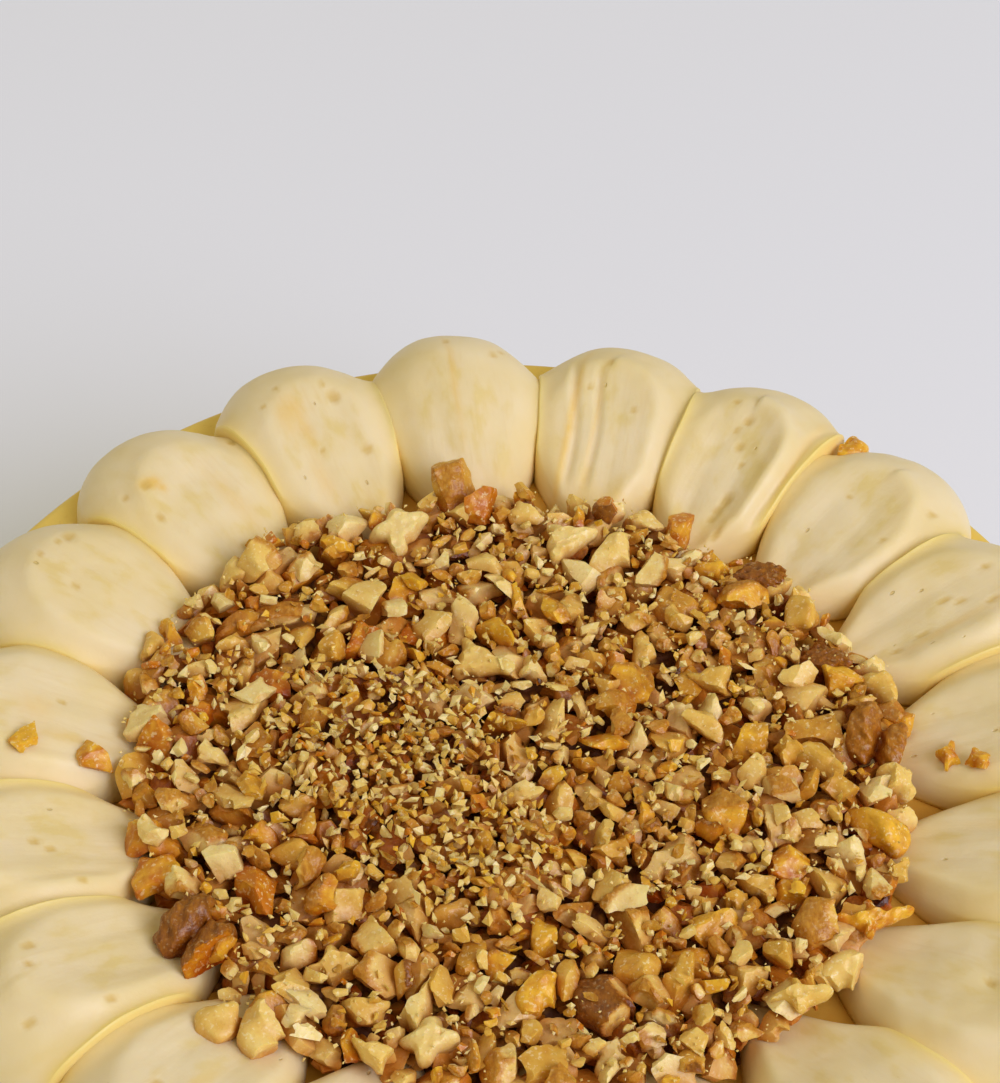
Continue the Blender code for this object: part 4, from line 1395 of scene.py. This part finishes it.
def turned(draw, tilt):
    """A random turn about Z after a random tip of up to the tilt, in radians."""
    tip = draw.uniform(-tilt, tilt, 2)
    spin = draw.uniform(0, 2 * math.pi)
    return np.array(Matrix.Rotation(spin, 3, "Z") @ Matrix.Rotation(tip[0], 3, "X")
                    @ Matrix.Rotation(tip[1], 3, "Y"))


# %% Piles of pieces
LEVEL_REACH = 3.5 * MM                # the heap's level is averaged this far round a corner
DEEP_START = 0.8 * MM                 # corners this far over the level begin to darken
DEEP_SPAN = 3.6 * MM                  # and this much further down they are as deep as can be


class Pile:
    """Pieces of one kind, gathered to be joined into one mesh."""

    def __init__(self, name):
        self.name = name
        self.points = []
        self.faces = []
        self.skin = []
        self.tint = []
        self.total = 0

    def put(self, corners, faces, skin, tint):
        self.points.append(corners)
        self.faces.append(faces + self.total)
        self.skin.append(skin)
        self.tint.append(np.broadcast_to(tint, corners.shape))
        self.total += len(corners)

    def join(self, material, level, sharp_angle=30):
        """One mesh of all the pieces; corners below the level heights are marked as deep, which the
        finish paints as shade.
        """
        points = np.concatenate(self.points)
        tint = np.concatenate(self.tint)
        if level is not None:
            buried = level[heights.index(points[:, 0], points[:, 1])] - points[:, 2]
            tint[:, 1] = np.clip(tint[:, 1] + (buried + DEEP_START) / DEEP_SPAN, 0, 1)
        points[:, 2] += TOP
        values = {"skin": np.concatenate(self.skin), "tint": tint}
        return add_mesh(self.name, points, [np.concatenate(self.faces)], [material], values,
                        sharp_angle)


# %% [markdown]
# ## The outline of the heap
# The nuts were scattered by hand, so the outline wanders, and the heap is thinner towards it.
# The finest crumbs gathered in two patches, left of the middle and just in front of it.

# %% Outline and base heights
HEAP_RADIUS = 72.5 * MM
HEAP_WAVES = ((1, 3.75 * MM, 2.32), (2, 1.2 * MM, 0.44), (3, 1.75 * MM, 4.98),
              (5, 1.0 * MM, 5.07), (7, 1.1 * MM, 2.6), (12, 0.8 * MM, 3.14))
CRUMB_PATCHES = (  # middle x, middle y, radius
    (-27 * MM, -3 * MM, 21 * MM),
    (-8 * MM, -24 * MM, 15 * MM),
)
HIGHEST = 14.5 * MM                  # no strewn piece rises over this
GRID_HALF, GRID_CELL = 92 * MM, 0.5 * MM


def outline(angle):
    return HEAP_RADIUS + waves(angle, HEAP_WAVES)


def crumb_share(x, y):
    """1 in the middle of a patch of fine crumbs, 0 outside."""
    share = 0.0
    for middle_x, middle_y, radius in CRUMB_PATCHES:
        distance = np.hypot(x - middle_x, y - middle_y) / radius
        share = np.maximum(share, smooth_step(1.25 - distance))
    return share


heights = Heights(GRID_HALF, GRID_CELL)
for petal, piece in zip(petals, petal_pieces):
    co = np.empty(len(piece.data.vertices) * 3, np.float32)
    piece.data.vertices.foreach_get("co", co)
    over = co.reshape(-1, 3).astype(float)
    over[:, 2] -= TOP
    heights.add(over[np.hypot(over[:, 0], over[:, 1]) < GRID_HALF - 1 * MM])
print(f"height grid {heights.count} x {heights.count}")

# %% The heap's core
CORE_RINGS = 60
CORE_COLUMNS = 160
CORE_HEIGHT = 5.2 * MM
CORE_INSET = 5 * MM                  # the core's edge lies this far within the outline
CORE_FOOT = -0.6 * MM
CORE_SLOPE = 9 * MM
CORE_LUMPS = ((9 * MM, 0.9 * MM, 41), (4 * MM, 0.7 * MM, 42))  # length, height, seed


def core_height(x, y):
    """Packed nuts under the loose ones, painted dark as shade deep in the heap, falling to the cake
    near the outline.
    """
    angle = np.arctan2(y, x)
    inside = (outline(angle) - CORE_INSET - 2 * MM - np.hypot(x, y)) / CORE_SLOPE
    flat = np.stack((x, y), axis=-1)
    bumps = sum(height * lumps(flat, length, seed) for length, height, seed in CORE_LUMPS)
    return smooth_step(inside) * (CORE_HEIGHT + bumps) - 0.4 * MM


def make_core(material):
    share = (np.arange(1, CORE_RINGS + 1) / CORE_RINGS)[::-1][:, None]
    angle = np.linspace(0, 2 * np.pi, CORE_COLUMNS, endpoint=False)[None, :]
    radius = share * (outline(angle) - CORE_INSET)
    x, y = radius * np.cos(angle), radius * np.sin(angle)
    top = np.stack((x, y, core_height(x, y)), axis=-1)
    foot = top[:1].copy()
    foot[..., 2] = CORE_FOOT
    rings = np.concatenate((foot, top))
    ends = np.array([(0, 0, CORE_FOOT), (0, 0, float(core_height(0.0, 0.0)))])
    corners = np.concatenate((rings.reshape(-1, 3), ends))
    faces = facing_out(corners - corners.mean(axis=0), ring_faces(len(rings), CORE_COLUMNS))
    heights.add(rings[1:].reshape(-1, 3))
    corners[:, 2] += TOP
    return add_mesh("walnut_core", corners, faces, [material])


# %% [markdown]
# ## Walnut finish
# Every nut piece wears one finish, which reads what the mesh carries. Skin says where the thin
# brown coat is left. Tint holds the tone of the flesh, from cream to amber, then how much painted
# shade darkens the piece deep in the heap, and then a number of its own that shifts the grain.
# Broken flesh crumbles, and the pale specks scattered over it are those crumbs.

# %% Walnut finish
FLESH = (
    (0.00, (242, 220, 150)),
    (0.25, (236, 202, 112)),
    (0.50, (224, 178, 72)),
    (0.66, (206, 150, 44)),
    (0.82, (240, 188, 50)),
    (1.00, (200, 118, 14)),
)
GRAIN_DARK, GRAIN_LIGHT = (196, 130, 40), (244, 218, 160)
STAINED_FLESH = (196, 124, 20)       # beside the skin
SPECK = (252, 238, 192)
DEEP_SHADE = (204, 136, 26)          # what colours are multiplied by deep in the heap
SKIN = (
    (0.00, (212, 156, 54)),
    (0.35, (176, 112, 20)),
    (0.70, (130, 74, 10)),
    (1.00, (74, 38, 8)),
)


def walnut_finish():
    finish = Finish("chopped walnut", Subsurface_Weight=0.3, Subsurface_Scale=2.0 * MM,
                    Subsurface_Radius=(1.0, 0.75, 0.20), Specular_IOR_Level=0.45)
    tint = finish.vector_of("tint")
    tone = finish.part_of(tint, "X")
    dark = finish.part_of(tint, "Y")
    own = finish.part_of(tint, "Z")
    apart = finish.node("ShaderNodeCombineXYZ", {}, {0: own, 1: own * 0.7, 2: own * 0.4})
    where = finish.node("ShaderNodeVectorMath", {"operation": "ADD"},
                        {0: finish.place(), 1: apart})
    cloud = finish.noise(2.6 * MM, 2.0, where=where)
    grain = finish.noise(0.55 * MM, 3.0, where=where)
    flesh = finish.ramp((tone + 0.5 * (cloud - 0.5)).clamped(), FLESH)
    flesh = finish.mix(grain.smooth(0.55, 0.75) * 0.25, flesh, GRAIN_DARK)
    flesh = finish.mix(grain.smooth(0.40, 0.28) * 0.25, flesh, GRAIN_LIGHT)
    wrinkle = finish.noise(1.1 * MM, 3.0, where=where)
    streaks = finish.noise(0.5 * MM, 2.0, where=finish.scaled(where, (1.0, 0.22, 0.6)))
    browner = 0.45 * own.smooth(0.86, 1.0) + 0.40 * tone.smooth(0.84, 1.0)
    skin_tone = (0.6 * wrinkle + 0.5 * (streaks - 0.5) + browner - 0.10).clamped()
    skin = finish.ramp(skin_tone, SKIN)
    left = finish.value_of("skin") + 0.4 * (grain - 0.5)
    colour = finish.mix(left.smooth(0.05, 0.6) * 0.75, flesh, STAINED_FLESH)
    colour = finish.mix(left.smooth(0.45, 0.75), colour, skin)
    crumbly = finish.noise(0.8 * MM, 3.0, where=where).smooth(0.58, 0.66)
    colour = finish.mix(crumbly * (0.5 - 0.35 * left.clamped()), colour, SPECK)
    finish.feed("Base Color", finish.mix(dark * 0.85, colour, DEEP_SHADE, "MULTIPLY"))
    finish.feed("Roughness", 0.22 + 0.30 * grain)
    under = finish.relief(cloud + (0.15 + left.clamped()) * wrinkle, 0.16 * MM)
    finish.feed("Normal", finish.relief(grain, 0.07 * MM, under))
    return finish.material


# %% Finish of the core
CORE_BIT = 2.2 * MM
CORE_SHADED_TONES = ((0.0, (134, 76, 8)), (0.6, (168, 106, 22)), (1.0, (192, 136, 46)))
CORE_CRACK_SHADE = (104, 52, 2)


def core_finish():
    """Small bits packed under the loose pieces, painted dark as shade deep in the heap, with
    painted shade in the cracks between them.
    """
    finish = Finish("packed crumbs", Roughness=0.7)
    bits = finish.cells(CORE_BIT)
    shade = finish.part_of(finish.cells(CORE_BIT, output="Color"), "X")
    colour = finish.ramp(shade, CORE_SHADED_TONES)
    # Painted shade in the cracks between the bits.
    finish.feed("Base Color", finish.mix(bits.smooth(0.2, 0.6), colour, CORE_CRACK_SHADE))
    finish.feed("Normal", finish.relief(1 - bits, 1.2 * MM))
    return finish.material


walnut = walnut_finish()
settle(make_core(core_finish()), "chopped_walnut", "walnut_heap")

# %% [markdown]
# ## Filling the heap
# Pieces that will be covered go in first, then the coarse ones, and crumbs last, which run down
# into the gaps. Two kinds are kept out of the patches of fine crumbs, and the smallest bits
# stay a little within the outline, where the heap thins out and lies on the cream.

# %% Drop the pieces
TONES = (  # place in the ramp of flesh colours, and the share of the pieces near it
    (0.06, 0.24), (0.25, 0.30), (0.47, 0.22), (0.63, 0.10), (0.80, 0.08), (0.97, 0.06))
TONE_SPREAD = 0.06


def draw_tone(draw):
    places = [tone for tone, _ in TONES]
    shares = np.array([share for _, share in TONES])
    tone = draw.choice(places, p=shares / shares.sum()) + draw.normal(scale=TONE_SPREAD)
    return float(np.clip(tone, 0, 1))


def scatter(pile, shapes, count, stretch, tilt, sink, draw, tries=6, where=None, dark=0.0,
            margin=0.0, tone=None):
    """Drop some pieces from a bin, each at the lowest of a few random places.

    Each is stretched by a factor between two limits and tipped by up to the tilt, in radians.
    The sink is the share of its corners that may lie under what is there.
    """
    for _ in range(count):
        corners, faces, skin = shapes[draw.integers(len(shapes))]
        size = draw.uniform(*stretch)
        local = (corners * size * draw.uniform(0.85, 1.15, 3)) @ turned(draw, tilt).T * MM
        reach = np.hypot(local[:, 0], local[:, 1]).max()
        angle = draw.uniform(0, 2 * math.pi, tries)
        limit = outline(angle) - reach - margin
        radius = limit * np.sqrt(draw.uniform(0, 1, tries))
        places = np.stack((radius * np.cos(angle), radius * np.sin(angle)), axis=-1)
        if where is not None:
            keep = where(places[:, 0], places[:, 1]) > draw.uniform(0, 1, tries)
            if not keep.any():
                continue
            places = places[keep]
        rests = heights.rest(local, places, sink)
        best = int(np.argmin(rests))
        local = local + (*places[best], rests[best])
        if local[:, 2].max() > HIGHEST:
            continue
        heights.add(local)
        shade = draw_tone(draw) if tone is None else tone
        pile.put(local, faces, skin, (shade, dark, draw.uniform(0, 1)))


def outside_patches(x, y):
    return 1 - 0.9 * crumb_share(x, y)


draw = np.random.default_rng(7)
coarse = Pile("walnuts_coarse")
medium = Pile("walnuts_medium")
small = Pile("walnuts_small")
tiny = Pile("walnuts_tiny")
crumbs = Pile("walnut_crumbs")
# Buried pieces start with painted shade already: a half for the small ones, a quarter for the
# middling ones.
scatter(small, BINS["buried small"], 420, (0.9, 1.2), 0.8, 0.12, draw, dark=0.5,
        margin=6 * MM)
scatter(medium, BINS["buried middling"], 150, (0.9, 1.2), 0.7, 0.15, draw, 8,
        outside_patches, 0.25)
scatter(coarse, BINS["large"], 85, (0.75, 1.05), 0.6, 0.20, draw, 10, outside_patches)
scatter(medium, BINS["middling"], 300, (0.85, 1.15), 0.8, 0.18, draw, 8, outside_patches)
print(f"under the pieces that stand out: {heights.middle_height():.1f} mm on average")

# %% [markdown]
# ## Pieces that stand out
# Some pieces catch the eye, and each of these has a row: where it lies, its size, how it is
# turned and how far its long end leans up, its kind and its tone. They are laid on the heap
# before the last small bits, which then fill in round them.

# %% The pieces that stand out
NAMED_PIECES = (  # x, y, length, width, height, turn in degrees, lean in degrees, kind, tone
    (-17.1, 61.3, 16.0, 9.0, 6.0, 97, 58, "skinned", 0.62),
    (-12.1, 59.0, 8.0, 6.0, 6.0, 85, 40, "skinned", 1.00),
    (-3.5, 63.0, 6.5, 4.5, 5.0, 80, 45, "skinned", 0.99),
    (-27.0, 50.6, 12.5, 10.5, 6.0, 20, 15, "star", 0.06),
    (-39.1, 46.1, 7.5, 5.0, 4.5, -20, 10, "chunk", 0.80),
    (-44.2, 39.8, 7.0, 6.0, 5.0, 10, 20, "chunk", 0.10),
    (-32.4, 34.8, 10.0, 8.0, 7.0, 80, 15, "chunk", 0.22),
    (-53.5, 39.2, 10.0, 8.0, 6.0, 60, 25, "chunk", 0.30),
    (-48.7, 28.9, 12.0, 6.0, 3.2, 25, 10, "plate", 0.20),
    (-55.7, 25.5, 10.0, 4.0, 3.2, 40, 10, "plate", 0.62),
    (19.0, 60.0, 8.5, 7.0, 5.0, 20, 30, "bare", 0.20),
    (12.2, 60.0, 6.0, 5.0, 5.0, 90, 40, "skinned", 1.00),
    (26.8, 58.5, 9.0, 6.0, 5.0, 50, 20, "chunk", 0.95),
    (6.0, 51.2, 10.5, 9.0, 5.5, 15, 15, "star", 0.12),
    (13.8, 46.6, 13.0, 6.5, 5.0, 60, 22, "claw", 0.20),
    (21.0, 44.6, 8.0, 7.0, 4.5, 30, 15, "chunk", 0.08),
    (25.8, 38.0, 10.5, 8.5, 3.2, 10, 12, "plate", 0.60),
    (42.0, 46.0, 11.0, 6.5, 3.6, -20, 12, "lobe", 1.00),
    (38.5, 40.9, 10.0, 8.0, 5.0, 5, 10, "skinned", 0.86),
    (49.3, 36.2, 7.5, 7.0, 6.0, 50, 20, "bare", 0.50),
    (53.6, 25.8, 10.0, 6.0, 3.2, -35, 15, "lobe", 0.97),
    (49.6, 16.9, 9.0, 8.0, 4.0, 0, 10, "knob", 0.25),
    (51.1, 8.0, 10.0, 7.0, 3.0, 15, 12, "plate", 0.58),
    (62.0, 6.2, 15.0, 11.0, 8.0, 84, 25, "lobe", 0.92),
    (62.0, -11.8, 11.0, 9.5, 7.5, -70, 12, "bare", 0.80),
    (39.2, 3.8, 10.0, 6.0, 3.2, 75, 50, "plate", 0.72),
    (17.9, 16.6, 8.5, 8.0, 5.0, 5, 8, "skinned", 0.88),
    (-8.8, 20.4, 12.0, 9.5, 5.0, -10, 15, "star", 0.24),
    (-3.7, 35.1, 8.0, 3.6, 3.4, 115, 35, "plate", 0.80),
    (61.5, -23.9, 7.5, 5.0, 4.0, 20, 20, "skinned", 1.00),
    (60.0, -32.3, 14.0, 6.5, 4.5, 10, 8, "star", 0.90),
    (50.3, -34.3, 10.0, 8.0, 5.0, 60, 15, "claw", 0.50),
    (54.2, -42.1, 9.0, 6.0, 5.0, 20, 12, "knob", 0.20),
    (-54.1, -44.6, 14.5, 12.0, 9.0, 60, 12, "lobe", 1.00),
    (-69.0, 0.7, 8.5, 7.0, 4.5, 60, 20, "chunk", 0.04),
    (-40.8, -62.5, 10.0, 7.5, 5.5, 80, 12, "knob", 0.25),
    (-48.5, -61.5, 8.0, 7.0, 5.0, 0, 8, "bare", 0.30),
    (-13.9, -62.0, 10.0, 9.0, 5.5, 10, 12, "star", 0.12),
    (3.6, -53.0, 9.5, 6.0, 4.5, 50, 20, "knob", 0.84),
    (19.1, -44.9, 9.0, 8.0, 4.5, -60, 15, "knob", 0.60),
    (26.6, -47.3, 11.0, 5.0, 4.5, 70, 20, "chunk", 0.55),
    (-50.6, -15.1, 8.5, 6.0, 3.0, -30, 15, "plate", 0.30),
    (-66.0, -23.7, 8.5, 7.0, 5.0, 0, 15, "chunk", 0.92),
    (-63.0, -31.3, 9.0, 8.0, 5.5, 30, 10, "bare", 0.90),
    (34.5, -12.1, 9.5, 8.0, 7.0, 90, 30, "bare", 0.74),
    (-48.1, 12.1, 9.5, 6.5, 4.5, -25, 15, "chunk", 0.99),
    (-60.3, 3.3, 8.0, 5.0, 4.5, 30, 20, "claw", 1.00),
    (48.2, -11.4, 7.5, 5.5, 3.0, -10, 15, "plate", 0.30),
    (17.3, -32.1, 9.0, 6.5, 3.2, 10, 15, "plate", 0.06),
    (-1.4, -11.0, 9.0, 3.6, 3.4, 25, 15, "plate", 0.18),
    (45.6, -21.6, 8.0, 7.0, 5.0, 10, 15, "chunk", 0.90),
    (-31.0, -48.0, 9.5, 7.5, 5.5, 15, 12, "star", 0.30),
    (-33.5, -35.5, 8.0, 6.5, 5.0, 60, 12, "chunk", 0.90),
    (-37.0, -30.0, 8.0, 5.0, 5.0, 70, 25, "chunk", 0.45),
    (46.5, -50.5, 10.5, 6.0, 5.0, 0, 15, "star", 0.35),
    (-2.0, -66.0, 8.0, 6.0, 5.0, 40, 15, "chunk", 0.20),
)
NAMED_STEP = 0.5                     # mm
NAMED_SINK = 0.30
NAMED_RISE = 1.5 * MM                # how far they may rise over the strewn pieces


def lay_named(pile, draw):
    """Lay each named piece where its row says, sunk a little into what lies there."""
    for x, y, length, width, height, turn, lean, kind, tone in NAMED_PIECES:
        nut = KINDS[kind](draw, (length, width, height))
        corners, quads, skin = nut.mesh(NAMED_STEP)
        spin = Matrix.Rotation(math.radians(turn), 3, "Z")
        tip = Matrix.Rotation(math.radians(-lean), 3, "Y")
        local = corners @ np.array(spin @ tip).T * MM
        place = np.array([(x, y)]) * MM
        level = float(heights.rest(local, place, NAMED_SINK)[0])
        level = min(level, HIGHEST + NAMED_RISE - local[:, 2].max())
        local = local + (*place[0], level)
        heights.add(local)
        pile.put(local, halved(quads), skin, (tone, 0.0, draw.uniform(0, 0.7)))


named = Pile("walnuts_named")
lay_named(named, draw)

# %% Small bits and crumbs
flake_shapes = [flake(draw, (length, 0.7 * length, 0.16))
                for length in draw.uniform(1.8, 4.0, 24)]
crumb_shapes = [crumb(draw) for _ in range(60)]
INSIDE = 7 * MM                      # small bits stay this far within the outline
CRUMB_SHADE_OFFSET = 3.0 * MM               # the smallest bits take the painted shade of depth only this much deeper
DUST_TONE = 0.2
scatter(medium, BINS["middling"], 70, (0.8, 1.1), 0.7, 0.22, draw, 4, outside_patches)
scatter(small, BINS["small"], 330, (0.75, 1.15), 0.9, 0.15, draw, 8, margin=2 * MM)
scatter(tiny, BINS["tiny"], 380, (0.8, 1.25), 1.0, 0.12, draw, 10, margin=INSIDE)
scatter(small, BINS["small"], 120, (0.7, 1.0), 0.9, 0.12, draw, 6, crumb_share)
scatter(tiny, BINS["tiny"], 500, (0.7, 1.1), 1.0, 0.12, draw, 6, crumb_share)
scatter(crumbs, flake_shapes, 120, (0.8, 1.2), 0.9, 0.25, draw, 4, margin=INSIDE)
scatter(crumbs, crumb_shapes, 450, (1.2, 2.8), 1.5, 0.15, draw, 8, margin=INSIDE)
scatter(crumbs, crumb_shapes, 3000, (1.2, 3.2), 1.5, 0.15, draw, 6, crumb_share)
scatter(crumbs, crumb_shapes, 1100, (0.5, 1.2), 1.5, 0.15, draw, 2, margin=2 * MM,
        tone=DUST_TONE)
print(f"heap top at {heights.middle_height():.1f} mm on average")
level = heights.smoothed(LEVEL_REACH)
for pile in (coarse, medium, named, small, tiny, crumbs):
    below = CRUMB_SHADE_OFFSET if pile in (tiny, crumbs) else 0.0
    settle(pile.join(walnut, level - below), "chopped_walnut", "walnut_heap")

# %% [markdown]
# ## Stray bits
# A few bits rolled on to the petals and stuck there. The solids have them too, joined to the
# petal that they lie on, so they sit at the same places here.

# %% Stray bits on the petals
STRAYS = (  # angle, radius, length, width, tone, kind
    (185.0, 88.5, 6.5, 4.2, 0.80, "chunk"),
    (186.0, 77.5, 7.5, 5.0, 0.90, "chunk"),
    (4.5, 75.6, 6.8, 4.6, 0.90, "star"),
    (2.5, 80.5, 5.6, 4.2, 0.95, "chunk"),
    (53.8, 104.4, 7.8, 5.4, 0.86, "claw"),
)
STRAY_HEIGHT = 3.6                   # mm
STRAY_STEP = 0.45                    # mm
STRAY_TILT = 0.2
STRAY_LIFT = 0.8 * MM
FEELERS = (-1.5 * MM, 0, 1.5 * MM)   # a petal's height is felt this far round a stray bit


def make_strays(material):
    draw = np.random.default_rng(11)
    pile = Pile("stray_walnuts")
    for angle, radius, length, width, tone, kind in STRAYS:
        nut = KINDS[kind](draw, (length, width, STRAY_HEIGHT))
        corners, quads, skin = nut.mesh(STRAY_STEP)
        local = corners @ turned(draw, STRAY_TILT).T * MM
        turn = math.radians(angle)
        x, y = math.cos(turn) * radius * MM, math.sin(turn) * radius * MM
        felt = [ray_height(x + dx, y + dy) for dx in FEELERS for dy in FEELERS]
        level = (np.mean(felt) + np.max(felt)) / 2
        local = local + (x, y, float(level) + STRAY_LIFT)
        pile.put(local, halved(quads), skin, (tone, 0.0, draw.uniform(0, 1)))
    return pile.join(material, None)


def ray_height(x, y):
    """How high the highest petal is over the cake's top at a place."""
    best = 0.0
    for piece in petal_pieces:
        hit, place, _, _ = piece.ray_cast(Vector((x, y, 2 * TOP)), Vector((0, 0, -1)))
        if hit:
            best = max(best, place.z - TOP)
    return best


bpy.context.view_layer.update()
settle(make_strays(walnut), "chopped_walnut")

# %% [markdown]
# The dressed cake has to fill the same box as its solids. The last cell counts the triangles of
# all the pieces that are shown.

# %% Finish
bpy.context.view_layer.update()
total = sum(triangle_count(piece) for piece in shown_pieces())
print(f"{total} triangles in all")
